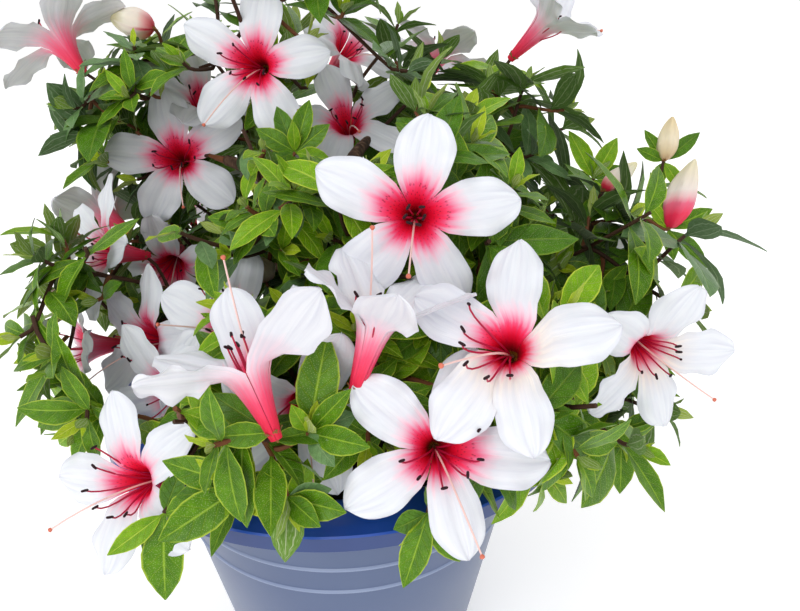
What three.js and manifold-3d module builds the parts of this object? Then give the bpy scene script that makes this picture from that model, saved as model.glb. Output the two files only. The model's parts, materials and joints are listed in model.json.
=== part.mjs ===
// An azalea bonsai in flower, in a flared plastic pot: white blooms with crimson throats over small leaves.
// Millimetres, +Z up. The origin is at the middle of the pot's flat underside.
import * as THREE from "three";
import { mergeVertices } from "three/addons/utils/BufferGeometryUtils.js";
import Module from "manifold-3d";

const wasm = await Module();
wasm.setup();

// Pot and soil
const potHeight = 130;
const rimRadius = 95;
const mouthRadius = 80;
const skirtTop = 2.2; // how far the skirt's upper edge lies below the lip
const skirtFoot = 8; // and its lower edge
const bodyRadius = 78.3; // of the tapered body, carried up to the lip
const bodyTaper = 0.21; // radius lost for each millimetre down
const wall = 2.5;
const ringDepths = [37.4, 49.8]; // the two raised lines round the body, below the lip
const ringHeight = 0.6;
const ringHalf = 1; // half of a line's width at its foot
const footChamfer = 1.5;
const collarEdge = 4; // the collar's sloping outer edge, measured in from the skirt
const collarFall = 1.4; // the fall of its upper side there
const collarUnder = 4.4; // its underside, below the lip
const lipRound = 2.2; // the lip's inner slope, and its fall
const lipFall = 1;
const skirtWall = 1.9;
const soilDepth = 10; // soil surface below the lip
const soilDish = 3; // it falls this much from the trunk to the wall
const soilLevel = 36; // flat to this radius
const drainHoles = 6;
const drainRadius = 4;
const drainPlace = 28;
const drainSides = 8;
const potSegments = 36;

// Limbs
const gap = 0.3; // clearance between solids that meet
const weld = 1e-3; // corners closer than this are one
const trunkSides = 12;
const flareRadius = 24;
const flareLength = 0.45; // share of the trunk that the root flare takes
const trunkFoot = 13;
const trunkTip = 8.5;
const trunkRings = 8;
const flareLobes = 5;
const lobeDepth = 0.16; // share of the radius by which the root lobes stand out
const trunkLine = [
  [0, -6, -8],
  [1, -3, 6],
  [5, 2, 24],
  [2, 8, 48],
]; // its heart, with heights above the soil
const boughSides = 6;
const boughRings = 4;
const boughTip = 2.3;
const boughTaper = 0.8; // power of the share along a bough by which it thins
const boughEntry = 0.75; // a bough ends at this share of its mass's half sizes
const boughLeast = 0.28; // and is at least this share of the way from its foot to the mass's middle
const stemLength = 9; // of the stem that carries each mass
const limbRoom = 1.5; // twigs and leaves stay this clear of a limb's bark
const potRoom = 3; // and this clear of the pot

// Foliage and blossom
const twigSides = 3;
const twigTip = 1.2;
const twigSwell = 0.02; // radius gained for each millimetre from tip to foot
const twigTurn = 100; // a twig leaves its parent at less than this many degrees
const twigLeast = 6; // and is longer than this
const twigThinner = 0.85; // its foot's share of its parent's radius there
const twigPasses = 3; // rounds over the tips, as later twigs reach what earlier ones could not
const springFrom = 0.12; // twigs spring from this share of a twig's length
const springTo = 0.8; // to this one
const leafLength = 29;
const leafWidth = 12.5;
const leafThickness = 0.9;
const leafRoot = 0.5; // how far a leaf's root goes past the heart of its twig
const leafStep = 1.9; // from one leaf of a rosette to the next, down the twig
const leafTurn = 137.5; // degrees between one leaf of a rosette and the next
const shootLeaves = 4;
const shootTilt = 42; // degrees between the twig and its first leaf
const tiltStep = 9; // and how much flatter each next one lies
const shootLowest = 1; // from the tip down to the first leaf
const bloomLeaves = 3;
const bloomTilt = 85;
const bloomLowest = 3;
const leafFirst = 0.78; // the first leaf's share of the full length
const leafMore = 0.09; // and how much each next one gains
const rosetteShare = 0.8; // of its twig that a rosette may take
const bloomRadius = 30;
const tubeLength = 17;
const throatDepth = 9;
const petalThickness = 1.3;
const petalCount = 5;
const petalEdge = [
  [0.64, -25],
  [1, -8],
  [1, 8],
  [0.64, 25],
]; // share of the bloom's radius and turn from the petal's middle, in degrees
const petalNotch = 0.27; // share of the radius at which two petals part
const petalRidge = 0.55; // where a petal is thickest
const petalHalf = 7.2; // half of the width that is tested for room
const petalSpread = 22.4; // but at most this many degrees
const petalFrom = 6; // reach at which that test starts
const tubeFoot = 2.4;
const tubeSink = 2; // how far the twig goes up into the tube
const budLength = 24;
const budWidth = 8;
const budRoot = 4;
const tipSpacing = 27; // between the shoot tips of one mass
const shell = [0.62, 0.93]; // tips lie in this share of a mass's half sizes
const tipTries = 1500;
const tipLift = 0.5; // how much a shoot turns up from the way out of the crown
const tipStray = 0.5; // and how much it strays to any side
const neighbourRoom = 4.6; // a leaf or twig keeps this far from another mass's pieces
const ownRoom = { petal: 2.6, leaf: 2.2, twig: 1.8 }; // and this far from those of its own mass
const sampleStep = 3;
const springRoom = 5; // the start of a twig or leaf that may lie against its parent
const pathWeight = 0.35; // how much a short way back to the stem counts in choosing where a twig springs
const bloomShare = 0.34; // of the seeded shoot tips that carry a bloom
const bloomSetBack = 8; // they sit this much lower, to stay within the crown's reach
const openLeast = 70; // degrees from a seeded bloom's axis to its petals
const openMore = 40; // and how much its draw adds
const budShare = 0.08;

const lip = potHeight;
const soilTop = lip - soilDepth;
const up = new THREE.Vector3(0, 0, 1);
const crownHeart = new THREE.Vector3(0, 5, lip + 40); // shoots point away from here

// Each mass: its middle (height above the lip), half sizes, shoot tips and seed.
// The bough of the same name carries it.
const masses = [
  { name: "apex", at: [-20, 22, 138], half: [60, 56, 52], tips: 9, seed: 41 },
  { name: "upper_left", at: [-76, 58, 100], half: [48, 50, 44], tips: 6, seed: 12 },
  { name: "upper_back", at: [20, 94, 98], half: [50, 42, 46], tips: 6, seed: 13 },
  { name: "upper_right", at: [76, 76, 98], half: [44, 44, 40], tips: 6, seed: 14 },
  { name: "middle", at: [-28, -12, 82], half: [44, 42, 36], tips: 6, seed: 15 },
  { name: "front_high", at: [32, -34, 84], half: [44, 42, 36], tips: 5, seed: 16 },
  { name: "front_right", at: [48, -70, 40], half: [46, 44, 36], tips: 5, seed: 17 },
  { name: "front_left", at: [-26, -74, 32], half: [46, 46, 38], tips: 5, seed: 18 },
  { name: "left", at: [-82, -8, 34], half: [46, 58, 46], tips: 6, seed: 19 },
  { name: "right", at: [106, 14, 56], half: [48, 50, 40], tips: 7, seed: 20 },
  { name: "right_low", at: [98, -34, 20], half: [44, 42, 36], tips: 5, seed: 31 },
  { name: "back", at: [2, 92, 38], half: [48, 40, 36], tips: 6, seed: 22 },
  { name: "back_left", at: [-76, 68, 34], half: [46, 44, 38], tips: 7, seed: 23 },
  { name: "back_right", at: [76, 74, 36], half: [46, 44, 38], tips: 6, seed: 24 },
];

// Each bough: the limb it springs from, how far along that limb, its foot radius and how much it bows up.
const boughs = [
  { name: "bough_apex", from: "trunk", share: 0.97, foot: 7.5, bow: 0 },
  { name: "bough_left", from: "trunk", share: 0.66, foot: 6, bow: 14 },
  { name: "bough_right", from: "trunk", share: 0.74, foot: 6.5, bow: 12 },
  { name: "bough_front_right", from: "trunk", share: 0.85, foot: 5.5, bow: 16 },
  { name: "bough_back", from: "trunk", share: 0.78, foot: 6, bow: 14 },
  { name: "bough_front_left", from: "trunk", share: 0.6, foot: 5.5, bow: 16 },
  { name: "bough_middle", from: "bough_apex", share: 0.2, foot: 4, bow: 6 },
  { name: "bough_upper_left", from: "bough_apex", share: 0.36, foot: 4.5, bow: 10 },
  { name: "bough_upper_back", from: "bough_apex", share: 0.5, foot: 4.5, bow: 8 },
  { name: "bough_upper_right", from: "bough_right", share: 0.26, foot: 4.5, bow: 10 },
  { name: "bough_right_low", from: "bough_right", share: 0.42, foot: 4, bow: 8 },
  { name: "bough_front_high", from: "bough_front_right", share: 0.22, foot: 4, bow: 4 },
  { name: "bough_back_left", from: "bough_back", share: 0.24, foot: 4.5, bow: 10 },
  { name: "bough_back_right", from: "bough_back", share: 0.4, foot: 4.5, bow: 10 },
];

// The blooms that stand out at the front: throat (height above the lip), the way they face as azimuth and
// elevation, the turn of the top petal, and how far the petals open from the axis, in degrees.
const blooms = [
  { at: [28, -61, 94], face: [-92, 18], turn: 8, open: 88 },
  { at: [51, -94, 63], face: [-105, 35], turn: 12, open: 90 },
  { at: [34, -98, 31], face: [-88, 30], turn: 24, open: 88 },
  { at: [20, -86, 62], face: [20, 70], turn: 0, open: 70 },
  { at: [-17, -99, 55], face: [130, 60], turn: 20, open: 57 },
  { at: [-33, 33, 125], face: [-95, 10], turn: 10, open: 85 },
  { at: [-71, 49, 84], face: [-85, 20], turn: -10, open: 85 },
  { at: [0, 77, 100], face: [-90, 45], turn: -20, open: 80 },
  { at: [0, 105, 128], face: [-40, 40], turn: 0, open: 70 },
  { at: [-64, 74, 102], face: [-60, 60], turn: 0, open: 60 },
  { at: [-75, -10, 25], face: [-130, 20], turn: 0, open: 80 },
  { at: [-64, -77, 10], face: [-125, -5], turn: 0, open: 80 },
  { at: [116, -33, 21], face: [-65, -5], turn: -18, open: 80 },
  { at: [-80, 48, 35], face: [-90, -10], turn: 0, open: 70 },
  { at: [-106, 4, 16], face: [-150, 10], turn: 0, open: 80 },
  { at: [93, 87, 135], face: [-20, 45], turn: 0, open: 60 },
  { at: [-6, -74, 33], face: [-80, -5], turn: 20, open: 70 },
  { at: [-94, 14, 54], face: [-140, 20], turn: 0, open: 75 },
];

// The leafy shoots that stand out at the front: tip (height above the lip) and direction.
const shoots = [
  { at: [-22, -101, 30], face: [-90, 40] },
  { at: [-4, -102, 22], face: [-80, -50] },
  { at: [-49, -92, 6], face: [-100, -40] },
  { at: [2, -93, 36], face: [-80, 60] },
  { at: [31, -104, 14], face: [-85, -60] },
  { at: [78, -8, 62], face: [-70, 40] },
  { at: [99, -16, 44], face: [-50, 30] },
  { at: [88, -54, 10], face: [-60, -30] },
  { at: [149, 40, 62], face: [-20, 60] },
];

// A Park and Miller generator, exact in any language that holds whole numbers up to 2^53.
function seeded(seed) {
  let state = seed;
  const next = () => {
    state = (state * 48271) % 2147483647;
    return state / 2147483647;
  };
  for (let i = 0; i < 5; i++) next();
  return next;
}

function facing([azimuth, elevation]) {
  const a = THREE.MathUtils.degToRad(azimuth);
  const e = THREE.MathUtils.degToRad(elevation);
  return new THREE.Vector3(Math.cos(e) * Math.cos(a), Math.cos(e) * Math.sin(a), Math.sin(e));
}

const place = ([x, y, z]) => new THREE.Vector3(x, y, z + lip);

// Two directions square to the given one: across, then towards the top.
function squareTo(direction) {
  const level = Math.abs(direction.z) < 0.98 ? up : new THREE.Vector3(0, 1, 0);
  const across = new THREE.Vector3().crossVectors(level, direction).normalize();
  return [across, new THREE.Vector3().crossVectors(direction, across)];
}

function solidOf(geometry) {
  const bare = geometry.clone();
  bare.deleteAttribute("normal");
  bare.deleteAttribute("uv");
  const merged = mergeVertices(bare, weld);
  return new wasm.Manifold(
    new wasm.Mesh({
      numProp: 3,
      vertProperties: merged.attributes.position.array,
      triVerts: new Uint32Array(merged.index.array),
    }),
  );
}

function geometryOf(solid) {
  const mesh = solid.getMesh();
  const geometry = new THREE.BufferGeometry();
  geometry.setAttribute("position", new THREE.BufferAttribute(mesh.vertProperties, 3));
  geometry.setIndex(new THREE.BufferAttribute(mesh.triVerts, 1));
  geometry.computeVertexNormals();
  return geometry;
}

// Joins solids two by two, so that each join stays small.
function joined(solids) {
  let round = solids;
  while (round.length > 1) {
    const next = [];
    for (let i = 0; i + 1 < round.length; i += 2) next.push(round[i].add(round[i + 1]));
    if (round.length % 2) next.push(round[round.length - 1]);
    round = next;
  }
  return round[0];
}

// The largest closed body: a loose scrap or a sealed hollow is dropped.
function mainBody(solid) {
  const bodies = solid.decompose();
  return bodies.reduce((best, body) => (body.volume() > best.volume() ? body : best));
}

function indexed(points, faces) {
  const geometry = new THREE.BufferGeometry();
  const numbers = points.flatMap((p) => [p.x, p.y, p.z]);
  geometry.setAttribute("position", new THREE.Float32BufferAttribute(numbers, 3));
  geometry.setIndex(faces.flat());
  return geometry;
}

const bodyAt = (depth) => bodyRadius - bodyTaper * depth;

// A flat-bottomed, tapered pot with a sloping collar, a short skirt and two raised lines.
function pot() {
  const outline = [
    [0, 0],
    [bodyAt(lip) - footChamfer, 0],
    [bodyAt(lip), footChamfer],
  ];
  for (const depth of [...ringDepths].reverse()) {
    outline.push([bodyAt(depth + ringHalf), lip - depth - ringHalf]);
    outline.push([bodyAt(depth) + ringHeight, lip - depth]);
    outline.push([bodyAt(depth - ringHalf), lip - depth + ringHalf]);
  }
  outline.push([bodyAt(collarUnder), lip - collarUnder]);
  outline.push([rimRadius - skirtWall, lip - collarUnder]);
  outline.push([rimRadius - skirtWall, lip - skirtFoot]);
  outline.push([rimRadius, lip - skirtFoot]);
  outline.push([rimRadius, lip - skirtTop]);
  outline.push([rimRadius - collarEdge, lip - collarFall]);
  outline.push([mouthRadius, lip]);
  outline.push([mouthRadius - lipRound, lip - lipFall]);
  outline.push([bodyAt(lip - wall) - wall, wall]);
  outline.push([0, wall]);
  const points = outline.map(([r, z]) => new THREE.Vector2(r, z));
  const turned = new THREE.LatheGeometry(points, potSegments).rotateX(Math.PI / 2);
  let solid = solidOf(turned);
  for (let i = 0; i < drainHoles; i++) {
    const angle = (i / drainHoles) * 2 * Math.PI;
    const hole = new THREE.CylinderGeometry(drainRadius, drainRadius, 3 * wall, drainSides);
    hole.rotateX(Math.PI / 2);
    hole.translate(drainPlace * Math.cos(angle), drainPlace * Math.sin(angle), wall / 2);
    solid = solid.subtract(solidOf(hole));
  }
  return geometryOf(solid);
}

// The compost that fills the pot, level round the trunk and a little lower at the wall.
function soil() {
  const inner = (z) => bodyAt(lip - z) - wall - gap;
  const foot = wall + gap;
  const outline = [
    [0, foot],
    [inner(foot), foot],
    [inner(soilTop - soilDish), soilTop - soilDish],
    [soilLevel, soilTop],
    [0, soilTop],
  ];
  const points = outline.map(([r, z]) => new THREE.Vector2(r, z));
  return new THREE.LatheGeometry(points, potSegments).rotateX(Math.PI / 2);
}

// A limb along a curve: a cylinder bent to it, its radius given for each share of its length.
function limbSolid(curve, radiusAt, sides, rings) {
  const frames = curve.computeFrenetFrames(rings);
  const geometry = new THREE.CylinderGeometry(1, 1, 1, sides, rings);
  const position = geometry.attributes.position;
  for (let i = 0; i < position.count; i++) {
    const share = position.getY(i) + 0.5;
    const ring = Math.round(share * rings);
    const reach = Math.hypot(position.getX(i), position.getZ(i));
    const angle = Math.atan2(position.getZ(i), position.getX(i));
    const radius = reach * radiusAt(share, angle);
    const point = curve.getPointAt(share);
    point.addScaledVector(frames.binormals[ring], radius * Math.cos(angle));
    point.addScaledVector(frames.normals[ring], radius * Math.sin(angle));
    position.setXYZ(i, point.x, point.y, point.z);
  }
  return solidOf(geometry);
}

// The trunk leans a little and swells into five root lobes at the soil. Its foot is cut flat.
function trunkLimb() {
  const heart = trunkLine.map(([x, y, z]) => new THREE.Vector3(x, y, soilTop + z));
  const curve = new THREE.CatmullRomCurve3(heart);
  const radiusAt = (share, angle) => {
    const flare = Math.max(0, 1 - share / flareLength) ** 2;
    const lobes = 1 + lobeDepth * flare * Math.cos(flareLobes * angle);
    const plain = trunkFoot + (trunkTip - trunkFoot) * share;
    return (plain + (flareRadius - trunkFoot) * flare) * lobes;
  };
  return { name: "trunk", curve, radiusAt, sides: trunkSides, rings: trunkRings };
}

const massAt = (mass) => place(mass.at);

// How far a point lies from the middle of a mass, as a share of its half sizes.
function shareIn(mass, point) {
  const middle = massAt(mass);
  return Math.hypot(
    (point.x - middle.x) / mass.half[0],
    (point.y - middle.y) / mass.half[1],
    (point.z - middle.z) / mass.half[2],
  );
}

// A bough runs from its parent's heart to a point a little inside its mass.
function boughLimb(bough, limbs) {
  const parent = limbs.find((limb) => limb.name === bough.from);
  const mass = masses.find((each) => `bough_${each.name}` === bough.name);
  const foot = parent.curve.getPointAt(bough.share);
  const middle = massAt(mass);
  const toFoot = foot.clone().sub(middle);
  const entry = Math.min(boughEntry / shareIn(mass, foot), 1 - boughLeast);
  const end = middle.clone().addScaledVector(toFoot, entry);
  const bend = foot.clone().lerp(end, 0.5).addScaledVector(up, bough.bow);
  const curve = new THREE.QuadraticBezierCurve3(foot, bend, end);
  const radiusAt = (share) => bough.foot + (boughTip - bough.foot) * share ** boughTaper;
  return { name: bough.name, curve, radiusAt, sides: boughSides, rings: boughRings };
}

function thicker(limb) {
  return limbSolid(limb.curve, (s, a) => limb.radiusAt(s, a) + gap, limb.sides, limb.rings);
}

// Claimed space: sample points in a grid of cubes, each with the piece that owns it.
const cube = 8;
const claimed = new Map();
const cubeOf = (v) => Math.floor(v / cube);

function claim(points, owner, kind, item) {
  for (const p of points) {
    const key = `${cubeOf(p.x)},${cubeOf(p.y)},${cubeOf(p.z)}`;
    if (!claimed.has(key)) claimed.set(key, []);
    claimed.get(key).push({ p, owner, kind, item });
  }
}

// Whether any of the points lies within its room of a claim that the test picks out.
function blocked(points, roomFor) {
  for (const p of points) {
    for (let i = cubeOf(p.x) - 1; i <= cubeOf(p.x) + 1; i++) {
      for (let j = cubeOf(p.y) - 1; j <= cubeOf(p.y) + 1; j++) {
        for (let k = cubeOf(p.z) - 1; k <= cubeOf(p.z) + 1; k++) {
          for (const other of claimed.get(`${i},${j},${k}`) ?? []) {
            if (p.distanceTo(other.p) < roomFor(other)) return true;
          }
        }
      }
    }
  }
  return false;
}

function alongLine(a, b) {
  const steps = Math.max(1, Math.ceil(a.distanceTo(b) / sampleStep));
  return Array.from({ length: steps + 1 }, (_, i) => a.clone().lerp(b, i / steps));
}

function hitsLimb(points, radius) {
  return limbs.some((limb) =>
    limb.axis.some(({ point, radius: bark }) =>
      points.some((p) => p.distanceTo(point) < bark + radius + limbRoom),
    ),
  );
}

// Over the pot a piece stays above the lip; beside it, clear of the collar.
function hitsPot(points) {
  return points.some((p) => p.z < lip + potRoom && Math.hypot(p.x, p.y) < rimRadius + potRoom);
}

// A bloom's own directions and the points of its petals, the same for the test and the solid.
function bloomForm(bloom) {
  const axis = bloom.axis;
  const [across, top] = squareTo(axis);
  const point = (reach, turn, depth) => {
    const a = THREE.MathUtils.degToRad(bloom.turn + turn);
    const open = THREE.MathUtils.degToRad(bloom.open);
    const out = across.clone().multiplyScalar(Math.sin(a)).addScaledVector(top, Math.cos(a));
    return bloom.throat
      .clone()
      .addScaledVector(out, reach * Math.sin(open))
      .addScaledVector(axis, reach * Math.cos(open) + depth);
  };
  return { point, base: bloom.throat.clone().addScaledVector(axis, -tubeLength) };
}

function bloomSamples(bloom) {
  const { point, base } = bloomForm(bloom);
  const samples = alongLine(base, bloom.throat);
  for (let i = 0; i < petalCount; i++) {
    for (let reach = petalFrom; reach <= bloomRadius; reach += sampleStep) {
      const spread = Math.min(petalSpread, THREE.MathUtils.radToDeg(petalHalf / reach));
      for (const side of [-1, 0, 1]) samples.push(point(reach, (360 / petalCount) * i + side * spread, 0));
    }
  }
  return samples;
}

// One closed skin for the tube and the five petals of a bloom.
function bloomSolid(bloom) {
  const { point } = bloomForm(bloom);
  const step = 360 / petalCount;
  const points = [point(0, 0, -throatDepth)];
  const faces = [];
  const notches = [];
  const feet = [];
  for (let i = 0; i < petalCount; i++) {
    notches.push(points.push(point(petalNotch * bloomRadius, (i - 0.5) * step, 0)) - 1);
    feet.push(points.push(point(tubeFoot, (i - 0.5) * step, -tubeLength)) - 1);
  }
  for (let i = 0; i < petalCount; i++) {
    const next = (i + 1) % petalCount;
    const rim = petalEdge.map(([reach, turn]) => {
      return points.push(point(reach * bloomRadius, i * step + turn, 0)) - 1;
    });
    const outline = [notches[i], ...rim, notches[next]];
    const front = points.push(point(petalRidge * bloomRadius, i * step, petalThickness / 2)) - 1;
    const back = points.push(point(petalRidge * bloomRadius, i * step, -petalThickness / 2)) - 1;
    for (let k = 0; k + 1 < outline.length; k++) {
      faces.push([front, outline[k + 1], outline[k]]);
      faces.push([back, outline[k], outline[k + 1]]);
    }
    faces.push([front, 0, notches[next]]);
    faces.push([front, notches[i], 0]);
    faces.push([back, notches[next], feet[next]]);
    faces.push([back, feet[next], feet[i]]);
    faces.push([back, feet[i], notches[i]]);
    if (i > 1) faces.push([feet[0], feet[i - 1], feet[i]]);
  }
  return solidOf(indexed(points, faces));
}

// A three-sided tapered twig, its foot on the axis of what it springs from.
function twigSolid({ from, to, foot }) {
  const way = to.clone().sub(from);
  const geometry = new THREE.CylinderGeometry(twigTip, foot, way.length(), twigSides);
  const turn = new THREE.Quaternion().setFromUnitVectors(new THREE.Vector3(0, 1, 0), way.normalize());
  geometry.applyQuaternion(turn);
  const middle = from.clone().lerp(to, 0.5);
  geometry.translate(middle.x, middle.y, middle.z);
  return solidOf(geometry);
}

// A leaf, keeled below: five corners from a root sunk in the twig. The normal is its upper side's.
function bladeSolid({ at, direction, normal, length, width, thickness, root }) {
  const side = new THREE.Vector3().crossVectors(direction, normal).normalize();
  const face = new THREE.Vector3().crossVectors(side, direction);
  const corner = (along, across, rise) =>
    at.clone().addScaledVector(direction, along).addScaledVector(side, across).addScaledVector(face, rise);
  const middle = length / 2;
  const points = [
    corner(-root, 0, 0),
    corner(length, 0, 0),
    corner(middle, -width / 2, thickness / 2),
    corner(middle, width / 2, thickness / 2),
    corner(middle, 0, -thickness / 2),
  ];
  const faces = [
    [0, 3, 2],
    [2, 3, 1],
    [0, 4, 3],
    [3, 4, 1],
    [1, 4, 2],
    [2, 4, 0],
  ];
  return solidOf(indexed(points, faces));
}

function bladeSamples({ at, direction, normal, length, width }) {
  const side = new THREE.Vector3().crossVectors(direction, normal).normalize();
  const samples = [];
  for (let reach = 2; reach < length + sampleStep; reach += sampleStep) {
    const share = Math.min(reach / length, 1);
    const half = width * Math.min(share, 1 - share);
    for (const way of [-1, 0, 1]) {
      samples.push(at.clone().addScaledVector(direction, share * length).addScaledVector(side, way * half));
    }
  }
  return samples;
}

const nearestMass = (point) =>
  masses.reduce((best, mass) => (shareIn(mass, point) < shareIn(best, point) ? mass : best));

// Whether a piece of this mass touches the pot or a limb, or comes too near to other foliage.
// Its first samples lie in the twig that it springs from, so they are not held against other foliage.
function blockedFor(mass, samples, radius, own) {
  const free = samples.filter((p) => p.distanceTo(samples[0]) > springRoom);
  return (
    hitsPot(samples) ||
    hitsLimb(samples, radius) ||
    blocked(free, (other) => {
      if (other.owner !== mass.name) return neighbourRoom;
      return other.item === own ? 0 : ownRoom[other.kind];
    })
  );
}

function claimBloom(mass, tip) {
  claim(bloomSamples(tip.bloom), mass.name, "petal", tip);
}

// The shoot tips of a mass: those placed by hand, then seeded ones in its outer shell.
function tipsOf(mass, random, taken) {
  const tips = [];
  for (const bloom of blooms) {
    const throat = place(bloom.at);
    if (nearestMass(throat) !== mass) continue;
    const whole = { ...bloom, throat, axis: facing(bloom.face) };
    tips.push({ at: bloomForm(whole).base, way: whole.axis, bloom: whole });
  }
  for (const shoot of shoots) {
    const at = place(shoot.at);
    if (nearestMass(at) === mass) tips.push({ at, way: facing(shoot.face) });
  }
  const middle = massAt(mass);
  const wanted = tips.length + mass.tips;
  for (let tries = 0; tries < tipTries && tips.length < wanted; tries++) {
    const height = 2 * random() - 1;
    const angle = 2 * Math.PI * random();
    const share = shell[0] + (shell[1] - shell[0]) * random();
    const round = Math.sqrt(1 - height * height);
    const out = new THREE.Vector3(round * Math.cos(angle), round * Math.sin(angle), height);
    const at = middle.clone().add(out.multiply(new THREE.Vector3(...mass.half)).multiplyScalar(share));
    if (nearestMass(at) !== mass || hitsPot([at])) continue;
    if ([...taken, ...tips].some((tip) => tip.at.distanceTo(at) < tipSpacing)) continue;
    if (blooms.some((bloom) => place(bloom.at).distanceTo(at) < tipSpacing)) continue;
    const way = at.clone().sub(crownHeart).normalize().addScaledVector(up, tipLift);
    way.add(new THREE.Vector3(random() - 0.5, random() - 0.5, random() - 0.5).multiplyScalar(tipStray));
    tips.push({ at, way: way.normalize(), draw: random() });
  }
  taken.push(...tips);
  return tips;
}

// A seeded tip may carry a bloom, which is set back so that it stays within the crown's reach.
function seedBloom(mass, tip) {
  if (tip.bloom || tip.draw === undefined || tip.draw > bloomShare) return;
  const at = tip.at.clone().addScaledVector(tip.way, -bloomSetBack);
  const throat = at.clone().addScaledVector(tip.way, tubeLength);
  const open = openLeast + openMore * tip.draw;
  const bloom = { throat, axis: tip.way, turn: 360 * tip.draw, open };
  if (blockedFor(mass, bloomSamples(bloom), 0, tip)) return;
  tip.at = at;
  tip.bloom = bloom;
  claimBloom(mass, tip);
}

// The places along the twigs made so far from which a new one can spring.
function springs(twigs) {
  return twigs.flatMap((twig) => {
    const line = alongLine(twig.from, twig.to);
    const direction = twig.to.clone().sub(twig.from).normalize();
    const first = twig.stem ? line.length - 1 : Math.ceil(springFrom * line.length);
    const last = twig.stem ? line.length : Math.max(first + 1, Math.floor(springTo * line.length));
    return line.slice(first, last).map((point) => {
      const along = point.distanceTo(twig.from);
      const radius = twig.foot + (twigTip - twig.foot) * (along / twig.length);
      return { point, direction, path: twig.path + along, radius };
    });
  });
}

// Each tip, the furthest first, is reached from the best spring that has a clear way forward to it.
// Tips that none reaches are tried again from the twigs made since.
function branch(mass, stem) {
  const twigs = [stem];
  const order = [...mass.tipList].sort((a, b) => b.at.distanceTo(stem.to) - a.at.distanceTo(stem.to));
  for (const tip of Array(twigPasses).fill(order).flat()) {
    if (tip.reached) continue;
    const end = tip.bloom ? tip.at.clone().addScaledVector(tip.way, tubeSink) : tip.at;
    const choices = springs(twigs)
      .map((spring) => ({ ...spring, span: spring.point.distanceTo(end) }))
      .filter(({ point, direction, span }) => {
        const turn = direction.angleTo(end.clone().sub(point));
        return span > twigLeast && turn < THREE.MathUtils.degToRad(twigTurn);
      })
      .sort((a, b) => a.span + pathWeight * a.path - b.span - pathWeight * b.path);
    const clear = choices.find(({ point }) => !blockedFor(mass, alongLine(point, end), twigTip, tip));
    if (!clear) continue;
    const foot = Math.min(twigTip + twigSwell * clear.span, Math.max(twigThinner * clear.radius, twigTip));
    twigs.push({ from: clear.point, to: end, foot, length: clear.span, path: clear.path });
    claim(alongLine(clear.point, end), mass.name, "twig", tip);
    tip.reached = true;
    tip.twigWay = end.clone().sub(clear.point).normalize();
    tip.twigLength = clear.span;
  }
  return twigs;
}

// A rosette of leaves down the end of a twig, the lower ones longer and flatter, and on some a bud.
function rosette(mass, tip, random) {
  const leaves = [];
  const [across, top] = squareTo(tip.twigWay);
  const count = tip.bloom ? bloomLeaves : shootLeaves;
  const start = 360 * random();
  const lowest = tip.bloom ? bloomLowest : shootLowest;
  if (!tip.bloom && tip.draw > 1 - budShare) {
    const bud = { at: tip.at, direction: tip.twigWay, normal: top };
    leaves.push({ ...bud, length: budLength, width: budWidth, thickness: budWidth, root: budRoot });
  }
  for (let i = 0; i < count; i++) {
    const turn = THREE.MathUtils.degToRad(start + i * leafTurn);
    const tilt = THREE.MathUtils.degToRad(tip.bloom ? bloomTilt : shootTilt + tiltStep * i);
    const out = across.clone().multiplyScalar(Math.cos(turn)).addScaledVector(top, Math.sin(turn));
    const direction = tip.twigWay.clone().multiplyScalar(Math.cos(tilt));
    direction.addScaledVector(out, Math.sin(tilt));
    const length = leafLength * (leafFirst + leafMore * i);
    const down = lowest + leafStep * i;
    const at = tip.at.clone().addScaledVector(tip.twigWay, -down);
    const blade = { length, width: leafWidth, thickness: leafThickness, root: leafRoot };
    const leaf = { at, direction, normal: tip.twigWay, ...blade };
    const samples = bladeSamples(leaf);
    if (down > rosetteShare * tip.twigLength || blockedFor(mass, samples, 0, tip)) continue;
    leaves.push(leaf);
    claim(samples, mass.name, "leaf", tip);
  }
  return leaves;
}

const limbs = [trunkLimb()];
for (const bough of boughs) limbs.push(boughLimb(bough, limbs));
for (const limb of limbs) {
  const corners = Array.from({ length: limb.rings + 1 }, (_, i) => limb.curve.getPointAt(i / limb.rings));
  const line = corners.slice(1).flatMap((corner, i) => alongLine(corners[i], corner));
  limb.axis = line.map((point, i) => ({ point, radius: limb.radiusAt(i / line.length, 0) }));
}

// Space is claimed in rounds: blooms first, then twigs, then leaves.
function growMasses() {
  const taken = [];
  for (const mass of masses) {
    mass.random = seeded(mass.seed);
    mass.tipList = tipsOf(mass, mass.random, taken);
    for (const tip of mass.tipList) if (tip.bloom) claimBloom(mass, tip);
  }
  for (const mass of masses) for (const tip of mass.tipList) seedBloom(mass, tip);
  for (const mass of masses) {
    const limb = limbs.find((each) => each.name === `bough_${mass.name}`);
    const direction = limb.curve.getTangentAt(1);
    const foot = limb.curve.getPointAt(1).addScaledVector(direction, gap);
    const head = foot.clone().addScaledVector(direction, stemLength);
    const stem = { from: foot, to: head, foot: boughTip, length: stemLength, path: 0, stem: true };
    mass.twigs = branch(mass, stem);
  }
  for (const mass of masses) {
    const reached = mass.tipList.filter((tip) => tip.reached);
    mass.leaves = reached.flatMap((tip) => rosette(mass, tip, mass.random));
  }
}

function massGeometry(mass) {
  const flowers = mass.tipList.filter((tip) => tip.reached && tip.bloom).map((tip) => bloomSolid(tip.bloom));
  const wood = mass.twigs.map(twigSolid);
  const leaves = mass.leaves.map(bladeSolid);
  const welded = solidOf(geometryOf(mainBody(joined([...wood, ...leaves, ...flowers]))));
  return geometryOf(mainBody(welded));
}

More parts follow.
